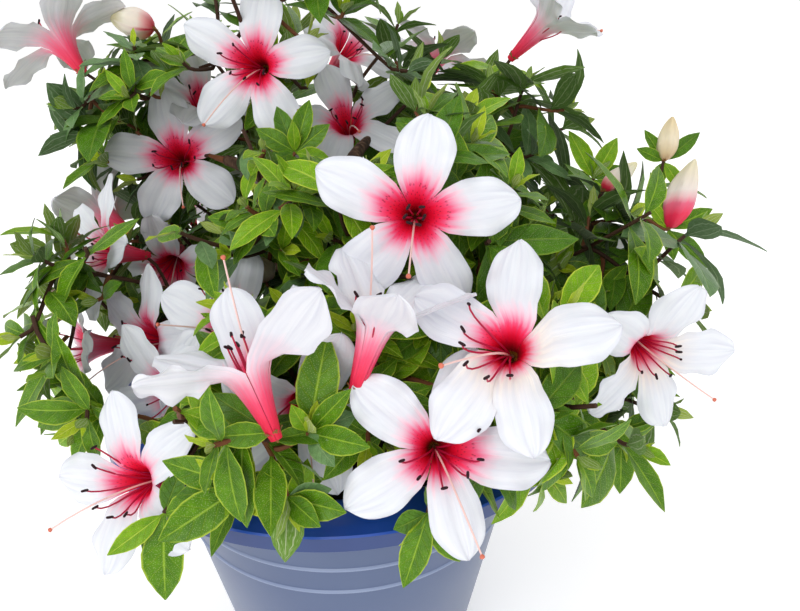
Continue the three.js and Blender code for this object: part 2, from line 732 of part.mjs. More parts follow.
// The trunk's foot is cut flat at the soil, and each limb is cut clear of those made before it.
function limbGeometries() {
  const grown = [];
  const block = new THREE.BoxGeometry(2 * rimRadius, 2 * rimRadius, potHeight);
  const belowGround = solidOf(block.translate(0, 0, soilTop + gap - potHeight / 2));
  return limbs.map((limb) => {
    let solid = limbSolid(limb.curve, limb.radiusAt, limb.sides, limb.rings).subtract(belowGround);
    for (const other of grown) solid = solid.subtract(other);
    grown.push(thicker(limb));
    return geometryOf(mainBody(solid));
  });
}

function named(name, geometry, color, roughness) {
  const mesh = new THREE.Mesh(geometry, new THREE.MeshStandardMaterial({ color, roughness, metalness: 0 }));
  mesh.name = name;
  return mesh;
}

const bonsai = new THREE.Group();
bonsai.add(named("pot", pot(), "#5f7198", 0.35));
bonsai.add(named("soil", soil(), "#3a2a1e", 0.95));
limbGeometries().forEach((geometry, i) => bonsai.add(named(limbs[i].name, geometry, "#5a3d28", 0.85)));
growMasses();
for (const mass of masses) {
  bonsai.add(named(`foliage_${mass.name}`, massGeometry(mass), "#4f8a2a", 0.45));
}

export default bonsai;
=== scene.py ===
import itertools
import json
from bisect import bisect_right
from math import ceil, cos, floor, hypot, pi, radians, sin, sqrt

import bmesh
import bpy
import numpy as np
from mathutils import Matrix, Vector, noise

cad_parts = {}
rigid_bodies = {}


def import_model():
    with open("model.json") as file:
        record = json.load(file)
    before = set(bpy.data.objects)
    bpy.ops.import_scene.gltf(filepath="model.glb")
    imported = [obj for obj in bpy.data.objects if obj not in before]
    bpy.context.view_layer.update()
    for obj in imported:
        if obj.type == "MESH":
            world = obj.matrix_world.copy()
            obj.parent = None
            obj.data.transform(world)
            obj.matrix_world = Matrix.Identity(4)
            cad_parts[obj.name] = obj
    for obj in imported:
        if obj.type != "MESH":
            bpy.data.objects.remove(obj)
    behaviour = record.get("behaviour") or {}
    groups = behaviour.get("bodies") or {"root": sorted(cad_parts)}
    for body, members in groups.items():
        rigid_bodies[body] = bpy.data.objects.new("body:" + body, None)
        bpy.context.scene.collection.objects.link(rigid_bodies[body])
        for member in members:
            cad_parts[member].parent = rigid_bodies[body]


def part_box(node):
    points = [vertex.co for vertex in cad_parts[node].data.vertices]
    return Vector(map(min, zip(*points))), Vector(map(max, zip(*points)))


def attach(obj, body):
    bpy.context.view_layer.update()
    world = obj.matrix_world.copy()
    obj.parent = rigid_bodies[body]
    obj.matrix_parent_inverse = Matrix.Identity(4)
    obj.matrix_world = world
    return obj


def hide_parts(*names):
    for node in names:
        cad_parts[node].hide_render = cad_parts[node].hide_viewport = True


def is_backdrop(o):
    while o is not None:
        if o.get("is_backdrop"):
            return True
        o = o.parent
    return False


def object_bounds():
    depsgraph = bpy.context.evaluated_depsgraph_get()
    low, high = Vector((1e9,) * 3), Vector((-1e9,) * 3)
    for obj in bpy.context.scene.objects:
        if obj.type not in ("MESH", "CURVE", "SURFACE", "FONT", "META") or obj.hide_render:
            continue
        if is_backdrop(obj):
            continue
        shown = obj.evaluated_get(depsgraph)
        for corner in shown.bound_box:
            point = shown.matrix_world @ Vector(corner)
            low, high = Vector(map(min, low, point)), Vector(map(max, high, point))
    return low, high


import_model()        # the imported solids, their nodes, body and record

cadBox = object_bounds()
mm = 0.001  # the plant is worked out in millimetres and scaled as each mesh is made
noise.seed_set(1)  # its vectors would follow the clock
up = Vector((0, 0, 1))
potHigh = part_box("pot")[1]
lip = potHigh[2] / mm
rimRadius = potHigh[0] / mm
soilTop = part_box("soil")[1][2] / mm
print("frame loaded, lip at", round(lip, 1), "mm")


# Camera, at the photo's angle: close in front of the plant and looking down on it
camera = {
    "place": (24, -280, 285),
    "pitch": 23.4,  # degrees below level
    "roll": -1.0,
    "focal": 760,  # in pixels of an image this wide
    "imageWidth": 800,
    "sensor": 36,
    "nearest": 0.01,
    "furthest": 200,
}


def addCamera():
    data = bpy.data.cameras.new("camera")
    data.sensor_width = camera["sensor"]
    data.lens = camera["sensor"] * camera["focal"] / camera["imageWidth"]
    data.clip_start = camera["nearest"]
    data.clip_end = camera["furthest"]
    eye = bpy.data.objects.new("camera", data)
    turn = Matrix.Rotation(radians(90 - camera["pitch"]), 4, "X")
    turn = turn @ Matrix.Rotation(radians(camera["roll"]), 4, "Z")
    eye.matrix_world = Matrix.Translation(Vector(camera["place"]) * mm) @ turn
    bpy.context.collection.objects.link(eye)
    bpy.context.scene.camera = eye
    return np.array(turn.to_3x3())


eyeTurn = addCamera()
print("camera placed")


def inPicture(points):
    # where points stand in the picture, in pixels from its middle, and how far off they are
    right, high, near = ((np.asarray(points) - np.array(camera["place"])) @ eyeTurn).T
    return np.stack([camera["focal"] * right / -near, camera["focal"] * high / -near, -near], 1)


# Materials
def linear(hexColour):
    # sRGB hex to the linear values that the shader takes
    channels = [int(hexColour[i:i + 2], 16) / 255 for i in (1, 3, 5)]
    return tuple(c / 12.92 if c <= 0.04045 else ((c + 0.055) / 1.055) ** 2.4 for c in channels) + (1.0,)


def setInputs(node, inputs):
    # each input takes another node's output, a hex colour or a plain value
    for name, value in inputs.items():
        if isinstance(value, bpy.types.Node):
            value = value.outputs[2 if value.type == "MIX" else 0]
        if isinstance(value, str):
            value = linear(value)
        if isinstance(value, bpy.types.NodeSocket):
            node.id_data.links.new(value, node.inputs[name])
        else:
            node.inputs[name].default_value = value


def addNode(tree, kind, inputs=None, stops=None, **settings):
    # a node with its settings, its inputs, and the stops of a ramp
    node = tree.nodes.new("ShaderNode" + kind)
    for name, value in settings.items():
        setattr(node, name, value)
    setInputs(node, inputs or {})
    if stops:
        steps = node.color_ramp.elements
        while len(steps) < len(stops):
            steps.new(1.0)
        for step, (place, hexColour) in zip(steps, stops):
            step.position = place
            step.color = linear(hexColour)
    return node


def newMaterial(name, finish):
    material = bpy.data.materials.new(name)
    material.use_nodes = True
    tree = material.node_tree
    shader = tree.nodes["Principled BSDF"]
    for socket, value in finish.items():
        shader.inputs[socket].default_value = value
    return material, tree, shader


# The map that each sheet and tube carries: across it, and along it from its root
mapName = "partMap"
leafPattern = {
    "blade": (9.0, 26.0, 1.0),  # mm across and along a usual leaf, for the map's 0 to 1
    "rib": (0.012, 0.045), "vein": (0.02, 0.09),  # where these fade, in shares of width and of spacing
    "veins": 7.0, "veinSlant": -0.42,
    "pits": 1.7, "pit": (0.07, 0.17), "blotches": 0.22,  # pits and blotches for each mm
    "margin": (0.44, 0.485), "veinShows": 0.28, "ribShows": 0.8, "pitShows": 0.6, "marginShows": 0.8,
    "pitDepth": 0.35, "relief": 0.0004,
}
underPattern = {
    "ribSpacing": 0.13, "rib": (0.008, 0.03), "ribShows": 0.8,
    "hairs": (46.0, 9.0, 1.0), "hair": (0.5, 0.72), "hairShows": 0.55, "relief": 0.0005,
}


def mapParts(tree):
    # the map, how far across from the middle line, and how far along
    place = addNode(tree, "UVMap", uv_map=mapName)
    parts = addNode(tree, "SeparateXYZ", {0: place})
    side = addNode(tree, "Math", {0: parts, 1: 0.5}, operation="SUBTRACT")
    return place, addNode(tree, "Math", {0: side}, operation="ABSOLUTE"), parts.outputs[1]


def leafBlade(name, colours, finish):
    # Azalea leaf, upper side: leathery and half glossy, with a sunk midrib, veins that curve to the tip,
    # pits painted pale, partly as pale hair bases and partly as painted glints, and a pale margin
    material, tree, shader = newMaterial(name, finish)
    look = leafPattern
    place, side, along = mapParts(tree)
    rib = addNode(tree, "MapRange", {0: side, 1: look["rib"][0], 2: look["rib"][1], 3: 1.0, 4: 0.0})
    # side veins, each leaving the midrib towards the tip
    lift = addNode(tree, "Math", {0: side, 1: look["veinSlant"], 2: along}, operation="MULTIPLY_ADD")
    count = addNode(tree, "Math", {0: lift, 1: look["veins"]}, operation="MULTIPLY")
    saw = addNode(tree, "Math", {0: count, 1: 0.5}, operation="PINGPONG")
    vein = addNode(tree, "MapRange", {0: saw, 1: look["vein"][0], 2: look["vein"][1], 3: 1.0, 4: 0.0})
    grain = addNode(tree, "VectorMath", {0: place, 1: look["blade"]}, operation="MULTIPLY")
    pits = addNode(tree, "TexVoronoi", {"Vector": grain, "Scale": look["pits"]}, voronoi_dimensions="2D")
    pit = addNode(tree, "MapRange", {0: pits, 1: look["pit"][0], 2: look["pit"][1], 3: 1.0, 4: 0.0})
    cloud = addNode(tree, "TexNoise", {"Vector": grain, "Scale": look["blotches"], "Detail": 3.0})
    tone = addNode(tree, "MapRange", {0: cloud, 1: 0.3, 2: 0.7})
    low, high = look["margin"]
    edge = addNode(tree, "MapRange", {0: side, 1: low, 2: high, 3: 0.0, 4: look["marginShows"]})
    colour = addNode(tree, "Mix", {0: tone, 6: colours["dark"], 7: colours["light"]}, data_type="RGBA")
    # the pits take the speck colour: partly pale hair bases, partly painted glints
    covers = ((vein, "veinShows", "vein"), (rib, "ribShows", "vein"), (pit, "pitShows", "speck"))
    for cover, shows, paint in covers:
        amount = addNode(tree, "Math", {0: cover, 1: look[shows]}, operation="MULTIPLY")
        colour = addNode(tree, "Mix", {0: amount, 6: colour, 7: colours[paint]}, data_type="RGBA")
    colour = addNode(tree, "Mix", {0: edge, 6: colour, 7: colours["margin"]}, data_type="RGBA")
    height = addNode(tree, "Math", {0: rib, 1: vein}, operation="MAXIMUM")
    deep = addNode(tree, "Math", {0: pit, 1: look["pitDepth"], 2: height}, operation="MULTIPLY_ADD")
    relief = {"Height": deep, "Strength": 0.6, "Distance": look["relief"]}
    bump = addNode(tree, "Bump", relief, invert=True)
    setInputs(shader, {"Base Color": colour, "Normal": bump})
    return material


def leafUnderside(name, colours, finish):
    # The underside: dull and silky, with pale veins that run nearly side by side and lying white hairs
    material, tree, shader = newMaterial(name, finish)
    look = underPattern
    place, side, _ = mapParts(tree)
    ribs = addNode(tree, "Math", {0: side, 1: look["ribSpacing"]}, operation="PINGPONG")
    low, high = look["rib"]
    rib = addNode(tree, "MapRange", {0: ribs, 1: low, 2: high, 3: look["ribShows"], 4: 0.0})
    grain = addNode(tree, "VectorMath", {0: place, 1: look["hairs"]}, operation="MULTIPLY")
    hairs = addNode(tree, "TexNoise", {"Vector": grain, "Scale": 1.0, "Detail": 4.0})
    low, high = look["hair"]
    hair = addNode(tree, "MapRange", {0: hairs, 1: low, 2: high, 3: 0.0, 4: look["hairShows"]})
    colour = addNode(tree, "Mix", {0: rib, 6: colours["under"], 7: colours["hair"]}, data_type="RGBA")
    colour = addNode(tree, "Mix", {0: hair, 6: colour, 7: colours["hair"]}, data_type="RGBA")
    bump = addNode(tree, "Bump", {"Height": rib, "Strength": 0.6, "Distance": look["relief"]})
    setInputs(shader, {"Base Color": colour, "Normal": bump})
    return material


leafFinish = {"Roughness": 0.36, "IOR": 1.4, "Specular IOR Level": 0.3}
underFinish = {**leafFinish, "Roughness": 0.7, "Sheen Weight": 0.1, "Sheen Roughness": 0.4}
# speck: the pale colour painted on the pits, partly hair bases and partly painted glint
tintParts = ("dark", "light", "vein", "speck", "margin", "under", "hair")
leafTints = {
    "deep": ("#365e0a", "#538212", "#6c8c26", "#a8b884", "#7f9c28", "#4a6a28", "#8ea46c"),
    "mid": ("#3a6602", "#5f8e06", "#93b632", "#c2d092", "#b4c840", "#648a30", "#c4d2a4"),
    "bright": ("#5a8c04", "#84b00a", "#b4cf44", "#d2de98", "#ccda48", "#82a03c", "#cedcb0"),
    "young": ("#90ae0c", "#b2c81e", "#d0dc60", "#dfe8a4", "#dfe260", "#a4b84e", "#dce4b8"),
    "dusty": ("#4f7440", "#70965a", "#86a26a", "#a8bc98", "#86a06a", "#5e7c50", "#a6ba98"),
    "scale": ("#7a4416", "#b06f22", "#8a5a24", "#c69248", "#c8943e", "#8a5a2c", "#b98f5c"),
}
petalPattern = {
    "streaks": (9.0, 1.6, 1.0),  # across and along, so that they run with the petal
    # shade: lilac multiplied in along the crease streaks, painted shade
    "jag": 0.035, "shade": "#dddde8", "shadeFrom": (0.4, 0.75), "shadeShows": 0.6,
    "blade": (15.0, 30.0, 1.0), "flecks": 0.62,  # mm of a usual petal, and flecks for each mm
    "fleck": (0.08, 0.2), "fleckColour": "#8a0a26", "fleckZone": (0.55, 0.59), "relief": 0.0006,
}


def petalSkin(name, stain):
    # Azalea petal, inner side: white with a painted lilac shade in its creases. Crimson runs out of the
    # throat in streaks and fades through pink, with darker flecks on the upper petals
    material, tree, shader = newMaterial(name, petalFinish)
    look = petalPattern
    place, side, along = mapParts(tree)
    drawn = addNode(tree, "VectorMath", {0: place, 1: look["streaks"]}, operation="MULTIPLY")
    streaks = addNode(tree, "TexNoise", {"Vector": drawn, "Scale": 1.0, "Detail": 3.0})
    spread = addNode(tree, "Math", {0: side, 1: stain["narrow"], 2: along}, operation="MULTIPLY_ADD")
    jag = addNode(tree, "MapRange", {0: streaks, 1: 0.3, 2: 0.7, 3: stain["shift"] - look["jag"],
                                     4: stain["shift"] + look["jag"]})
    reach = addNode(tree, "Math", {0: spread, 1: jag}, operation="ADD")
    red = addNode(tree, "ValToRGB", {0: reach}, stops=stain["stops"])
    # painted shade: a lilac darkening along the streaks that the crease bump follows
    low, high = look["shadeFrom"]
    shade = addNode(tree, "MapRange", {0: streaks, 1: low, 2: high, 3: 0.0, 4: look["shadeShows"]})
    paintedCreaseShade = {0: shade, 6: red, 7: look["shade"]}
    withPaintedShade = addNode(tree, "Mix", paintedCreaseShade, data_type="RGBA", blend_type="MULTIPLY")
    grain = addNode(tree, "VectorMath", {0: place, 1: look["blade"]}, operation="MULTIPLY")
    dots = addNode(tree, "TexVoronoi", {"Vector": grain, "Scale": look["flecks"]}, voronoi_dimensions="2D")
    low, high = look["fleck"]
    dot = addNode(tree, "MapRange", {0: dots, 1: low, 2: high, 3: stain["flecks"], 4: 0.0})
    low, high = look["fleckZone"]
    zone = addNode(tree, "MapRange", {0: reach, 1: low, 2: high, 3: 1.0, 4: 0.0})
    flecked = addNode(tree, "Math", {0: dot, 1: zone}, operation="MULTIPLY")
    whole = addNode(tree, "Mix", {0: flecked, 6: withPaintedShade, 7: look["fleckColour"]}, data_type="RGBA")
    bump = addNode(tree, "Bump", {"Height": streaks, "Strength": 0.5, "Distance": look["relief"]})
    setInputs(shader, {"Base Color": whole, "Normal": bump})
    return material


petalFinish = {"Roughness": 0.5, "IOR": 1.4, "Subsurface Weight": 0.12, "Subsurface Scale": 0.0015,
               "Subsurface Radius": (1.0, 0.7, 0.75)}
# the darkest reds at the foot of the funnel are partly the crimson blotch and partly painted shade deep in
# the tube
throatStops = [(0.0, "#90001c"), (0.25, "#c60024"), (0.36, "#e6022e"), (0.45, "#f4103e"),
               (0.52, "#fa2c5c"), (0.56, "#f85480"), (0.60, "#f498b2"), (0.65, "#f0ccd8"),
               (0.71, "#e6e4ea"), (0.80, "#e6e8ee")]
paleStops = [(0.0, "#90001c"), (0.24, "#c60024"), (0.32, "#e80e38"), (0.38, "#f26884"), (0.44, "#f0c0ca"),
             (0.50, "#efe4dc"), (0.60, "#e8e6e8"), (0.70, "#e6e8ee")]
backStops = [(0.0, "#e0163a"), (0.16, "#ee264e"), (0.30, "#f64a70"), (0.40, "#f67e9a"), (0.48, "#f2b4c4"),
             (0.56, "#efd8e2"), (0.66, "#e5e5eb")]
budStops = [(0.0, "#c01230"), (0.16, "#d8304c"), (0.30, "#eaa0a0"), (0.45, "#f2e2d4"), (0.75, "#f3ecd8"),
            (1.0, "#e4dcae")]
stripeStops = [(0.0, "#d8163c"), (0.26, "#f02a54"), (0.42, "#f06a88"), (0.52, "#f2c4c4"), (0.62, "#f3e6dc"),
               (1.0, "#ece2c0")]
creamStops = [(0.0, "#d8a884"), (0.2, "#ead0a8"), (0.5, "#f4e6c8"), (1.0, "#e6d2a2")]
stains = {
    "strong": {"stops": throatStops, "shift": 0.035, "narrow": 0.2, "flecks": 0.7},
    "middling": {"stops": throatStops, "shift": 0.085, "narrow": 0.16, "flecks": 0.4},
    "faint": {"stops": throatStops, "shift": 0.13, "narrow": 0.08, "flecks": 0.0},
    "pale": {"stops": paleStops, "shift": 0.0, "narrow": 0.05, "flecks": 0.0},
    "back": {"stops": backStops, "shift": 0.0, "narrow": 0.12, "flecks": 0.0},
    "bud": {"stops": budStops, "shift": 0.0, "narrow": 0.35, "flecks": 0.0},
    "striped": {"stops": stripeStops, "shift": 0.0, "narrow": 0.5, "flecks": 0.0},
    "cream": {"stops": creamStops, "shift": 0.0, "narrow": 0.2, "flecks": 0.0},
}


def plainSkin(name, hexColour, roughness, mottle=0.0, scale=400.0):
    # a soft plant part in one colour, a little uneven
    material, tree, shader = newMaterial(name, {"Roughness": roughness, "IOR": 1.4})
    cloud = addNode(tree, "TexNoise", {"Scale": scale, "Detail": 3.0})
    tone = addNode(tree, "MapRange", {0: cloud, 1: 0.3, 2: 0.7, 3: 1.0 - mottle, 4: 1.0})
    base = addNode(tree, "Mix", {0: 1.0, 6: hexColour, 7: tone}, data_type="RGBA", blend_type="MULTIPLY")
    setInputs(shader, {"Base Color": base})
    return material


# Sheets and tubes, as triangles with a map
def newBatch():
    return {"places": [], "faces": [], "looks": [], "maps": [], "size": 0}


def addTo(batch, places, faces, looks, maps):
    batch["places"].append(np.asarray(places, dtype=float))
    batch["faces"].append(faces + batch["size"])
    batch["looks"].append(np.broadcast_to(looks, len(faces)))
    batch["maps"].append(maps)
    batch["size"] += len(places)


def zipRows(front, back):
    # triangles between two rows of corners that share their ends
    faces = []
    i = j = 0
    while i < len(front) - 1 or j < len(back) - 1:
        ahead = (i + 1) * (len(back) - 1) <= (j + 1) * (len(front) - 1)
        if j == len(back) - 1 or (i < len(front) - 1 and ahead):
            faces.append((front[i], front[i + 1], back[j]))
            i += 1
        else:
            faces.append((front[i], back[j + 1], back[j]))
            j += 1
    return [face for face in faces if len(set(face)) == 3]


def sheetFaces(rows, columns, backColumns):
    # A closed thin sheet: a front grid, and a back one on some of its columns that shares the side edges.
    # The faces of the front come first, and their count is returned too
    front = np.arange(rows * columns).reshape(rows, columns)
    inner = backColumns[1:-1]
    behind = rows * columns + np.arange(rows * len(inner)).reshape(rows, len(inner))
    back = np.concatenate([front[:, :1], behind, front[:, -1:]], axis=1)
    faces = []
    for grid, flip in ((front, False), (back, True)):
        a, b = grid[:-1, :-1].ravel(), grid[:-1, 1:].ravel()
        c, d = grid[1:, 1:].ravel(), grid[1:, :-1].ravel()
        halves = [np.stack([a, b, c], 1), np.stack([a, c, d], 1)]
        faces.append(np.concatenate([half[:, ::-1] if flip else half for half in halves]))
    ends = [face[::-1] for face in zipRows(front[0], back[0])] + zipRows(front[-1], back[-1])
    return np.concatenate([faces[0], faces[1], np.array(ends)]), len(faces[0])


def tubeFaces(rings, sides):
    grid = np.arange(rings * sides).reshape(rings, sides)
    a, b = grid[:-1].ravel(), np.roll(grid, -1, 1)[:-1].ravel()
    c, d = np.roll(grid, -1, 1)[1:].ravel(), grid[1:].ravel()
    foot, tip = rings * sides, rings * sides + 1
    first, last = grid[0], grid[-1]
    return np.concatenate([
        np.stack([a, b, c], 1), np.stack([a, c, d], 1),
        np.stack([np.full(sides, foot), np.roll(first, -1), first], 1),
        np.stack([np.full(sides, tip), last, np.roll(last, -1)], 1)])


def squareTo(direction):
    # two directions square to this one: across, then towards the top
    level = up if abs(direction.z) < 0.98 else Vector((0, 1, 0))
    across = level.cross(direction).normalized()
    return across, direction.cross(across)


def tube(points, radii, sides, wobble=None):
    # a closed tube round a line of points, with its map
    points = [Vector(p) for p in points]
    across = squareTo((points[1] - points[0]).normalized())[0]
    places = []
    for i, (point, radius) in enumerate(zip(points, radii)):
        way = (points[min(i + 1, len(points) - 1)] - points[max(i - 1, 0)]).normalized()
        across = (across - way * across.dot(way)).normalized()
        other = way.cross(across)
        for k in range(sides):
            angle = 2 * pi * k / sides
            reach = radius * (wobble(i / (len(points) - 1), angle, point) if wobble else 1)
            places.append(point + (across * cos(angle) + other * sin(angle)) * reach)
    places += [points[0], points[-1]]
    maps = [(k / sides, i / (len(points) - 1)) for i in range(len(points)) for k in range(sides)]
    maps += [(0.5, 0.0), (0.5, 1.0)]
    return np.array([tuple(p) for p in places]), tubeFaces(len(points), sides), np.array(maps)


def makePiece(name, batch, materials, nodes=(), sharp=50):
    # One mesh from a batch. Each material has a column of the bake's map, and all its sheets lie there
    # one on the other, so a pattern keeps its place on every leaf and petal
    places = np.concatenate(batch["places"]) * mm
    faces = np.concatenate(batch["faces"]).astype(np.int32)
    looks = np.concatenate(batch["looks"]).astype(np.int32)
    maps = np.concatenate(batch["maps"])[faces.ravel()]
    mesh = bpy.data.meshes.new(name)
    mesh.vertices.add(len(places))
    mesh.vertices.foreach_set("co", places.ravel())
    mesh.loops.add(faces.size)
    mesh.loops.foreach_set("vertex_index", faces.ravel())
    mesh.polygons.add(len(faces))
    mesh.polygons.foreach_set("loop_start", np.arange(0, faces.size, 3, dtype=np.int32))
    for material in materials:
        mesh.materials.append(material)
    mesh.polygons.foreach_set("material_index", looks)
    mesh.polygons.foreach_set("use_smooth", np.ones(len(faces), dtype=bool))
    mesh.uv_layers.new(name=mapName).uv.foreach_set("vector", maps.ravel())
    inset = 0.04
    stacked = maps.copy()
    stacked[:, 0] = (np.repeat(looks, 3) + inset + (1 - 2 * inset) * maps[:, 0]) / len(materials)
    mesh.uv_layers.new(name="OFBake").uv.foreach_set("vector", stacked.ravel())
    mesh.update(calc_edges=True)
    mesh.set_sharp_from_angle(angle=radians(sharp))
    piece = bpy.data.objects.new(name, mesh)
    bpy.context.collection.objects.link(piece)
    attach(piece, "root")
    if nodes:
        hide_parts(*nodes)
    print(name, "with", len(faces), "triangles")
    return piece


# How the plant grows: the rule, limbs and tips of the solids again, then finer twigs in the same reach
growth = {
    "trunkSteps": 12, "boughSteps": 32,
    "gap": 0.3,
    "flareRadius": 24, "flareLength": 0.45, "flareLobes": 5, "lobeDepth": 0.16,
    "trunkFoot": 13, "trunkTip": 8.5,
    "boughTip": 2.3, "boughTaper": 0.8, "boughEntry": 0.75, "boughLeast": 0.28, "stemLength": 9,
    "limbRoom": 1.5, "potRoom": 3, "twigTip": 1.2, "twigSwell": 0.02, "twigTurn": 100, "twigLeast": 6,
    "twigThinner": 0.85, "twigPasses": 3, "springFrom": 0.12, "springTo": 0.8, "springRoom": 5,
    "pathWeight": 0.35, "bloomRadius": 30, "tubeLength": 17, "petalCount": 5, "petalHalf": 7.2,
    "petalSpread": 22.4, "petalFrom": 6, "tubeSink": 2, "tipSpacing": 27, "shell": (0.62, 0.93),
    "tipTries": 1500, "tipLift": 0.5, "tipStray": 0.5, "neighbourRoom": 4.6,
    "ownRoom": {"petal": 2.6, "leaf": 2.2, "twig": 1.8}, "sampleStep": 3,
    "bloomShare": 0.34, "bloomSetBack": 8, "openLeast": 70, "openMore": 40,
    "firstSeed": 1007, "seedStep": 7,  # of the blooms
}
finer = {
    "tipSpacing": 16.5, "shell": (0.25, 0.95), "tipTries": 2500, "bloomShare": 0.05,
    "neighbourRoom": 1.4, "ownRoom": {"petal": 1.8, "leaf": 1.2, "twig": 0.8},
}
crownHeart = Vector((0, 5, lip + 40))
trunkLine = [(0, -6, -8), (1, -3, 6), (5, 2, 24), (2, 8, 48)]  # heights above the soil

# Masses: middle (height above the lip), half sizes, shoot tips, seed, the piece that their leaves join,
# the size of their leaves, and what their own blooms still are: some are in bud, or leafy with no bloom
# yet. Then the finer shoot tips, the length of twig for each lower leaf, and the tone of the leaves, which
# paints light and shade: brighter tints where the mass is in good light, darker ones in shade or far back
masses = [
    {"name": "apex", "at": (-20, 22, 138), "half": (60, 56, 52), "tips": 9, "seed": 41, "part": "front",
     "finer": 20, "lower": 12, "tone": "far"},
    {"name": "upper_left", "at": (-76, 58, 100), "half": (48, 50, 44), "tips": 6, "seed": 12,
     "part": "side", "finer": 30, "lower": 9, "tone": "far"},
    {"name": "upper_back", "at": (20, 94, 98), "half": (50, 42, 46), "tips": 6, "seed": 13,
     "part": "back", "leafSize": 1.15, "finer": 9, "lower": 22, "tone": "far"},
    {"name": "upper_right", "at": (76, 76, 98), "half": (44, 44, 40), "tips": 6, "seed": 14,
     "part": "side", "leafSize": 1.3, "stage": "bud", "finer": 4, "lower": 40, "tone": "far"},
    {"name": "middle", "at": (-28, -12, 82), "half": (44, 42, 36), "tips": 6, "seed": 15, "part": "front",
     "leafSize": 0.75, "stage": "leafy", "finer": 40, "lower": 7, "tone": "shade"},
    {"name": "front_high", "at": (32, -34, 84), "half": (44, 42, 36), "tips": 5, "seed": 16,
     "part": "front", "stage": "leafy", "finer": 30, "lower": 8, "tone": "open"},
    {"name": "front_right", "at": (48, -70, 40), "half": (46, 44, 36), "tips": 5, "seed": 17,
     "part": "front", "stage": "leafy", "finer": 30, "lower": 8, "tone": "open"},
    {"name": "front_left", "at": (-26, -74, 32), "half": (46, 46, 38), "tips": 5, "seed": 18,
     "part": "front", "finer": 40, "lower": 7, "tone": "open"},
    {"name": "left", "at": (-82, -8, 34), "half": (46, 58, 46), "tips": 6, "seed": 19, "part": "side",
     "leafSize": 0.9, "finer": 44, "lower": 7, "tone": "open"},
    {"name": "right", "at": (106, 14, 56), "half": (48, 50, 40), "tips": 7, "seed": 20, "part": "side",
     "leafSize": 1.3, "stage": "bud", "finer": 6, "lower": 30, "tone": "far"},
    {"name": "right_low", "at": (98, -34, 20), "half": (44, 42, 36), "tips": 5, "seed": 31,
     "part": "side", "leafSize": 1.2, "stage": "bud", "finer": 9, "lower": 20, "tone": "open"},
    {"name": "back", "at": (2, 92, 38), "half": (48, 40, 36), "tips": 6, "seed": 22, "part": "back",
     "finer": 30, "lower": 10, "tone": "far"},
    {"name": "back_left", "at": (-76, 68, 34), "half": (46, 44, 38), "tips": 7, "seed": 23,
     "part": "back", "finer": 30, "lower": 9, "tone": "far"},
    {"name": "back_right", "at": (76, 74, 36), "half": (46, 44, 38), "tips": 6, "seed": 24,
     "part": "back", "finer": 12, "lower": 18, "tone": "far"},
]
# mass it carries, parent limb, share along it, foot radius, bow
boughs = [
    ("apex", "trunk", 0.97, 7.5, 0),
    ("left", "trunk", 0.66, 6, 14),
    ("right", "trunk", 0.74, 6.5, 12),
    ("front_right", "trunk", 0.85, 5.5, 16),
    ("back", "trunk", 0.78, 6, 14),
    ("front_left", "trunk", 0.6, 5.5, 16),
    ("middle", "apex", 0.2, 4, 6),
    ("upper_left", "apex", 0.36, 4.5, 10),
    ("upper_back", "apex", 0.5, 4.5, 8),
    ("upper_right", "right", 0.26, 4.5, 10),
    ("right_low", "right", 0.42, 4, 8),
    ("front_high", "front_right", 0.22, 4, 4),
    ("back_left", "back", 0.24, 4.5, 10),
    ("back_right", "back", 0.4, 4.5, 10),
]
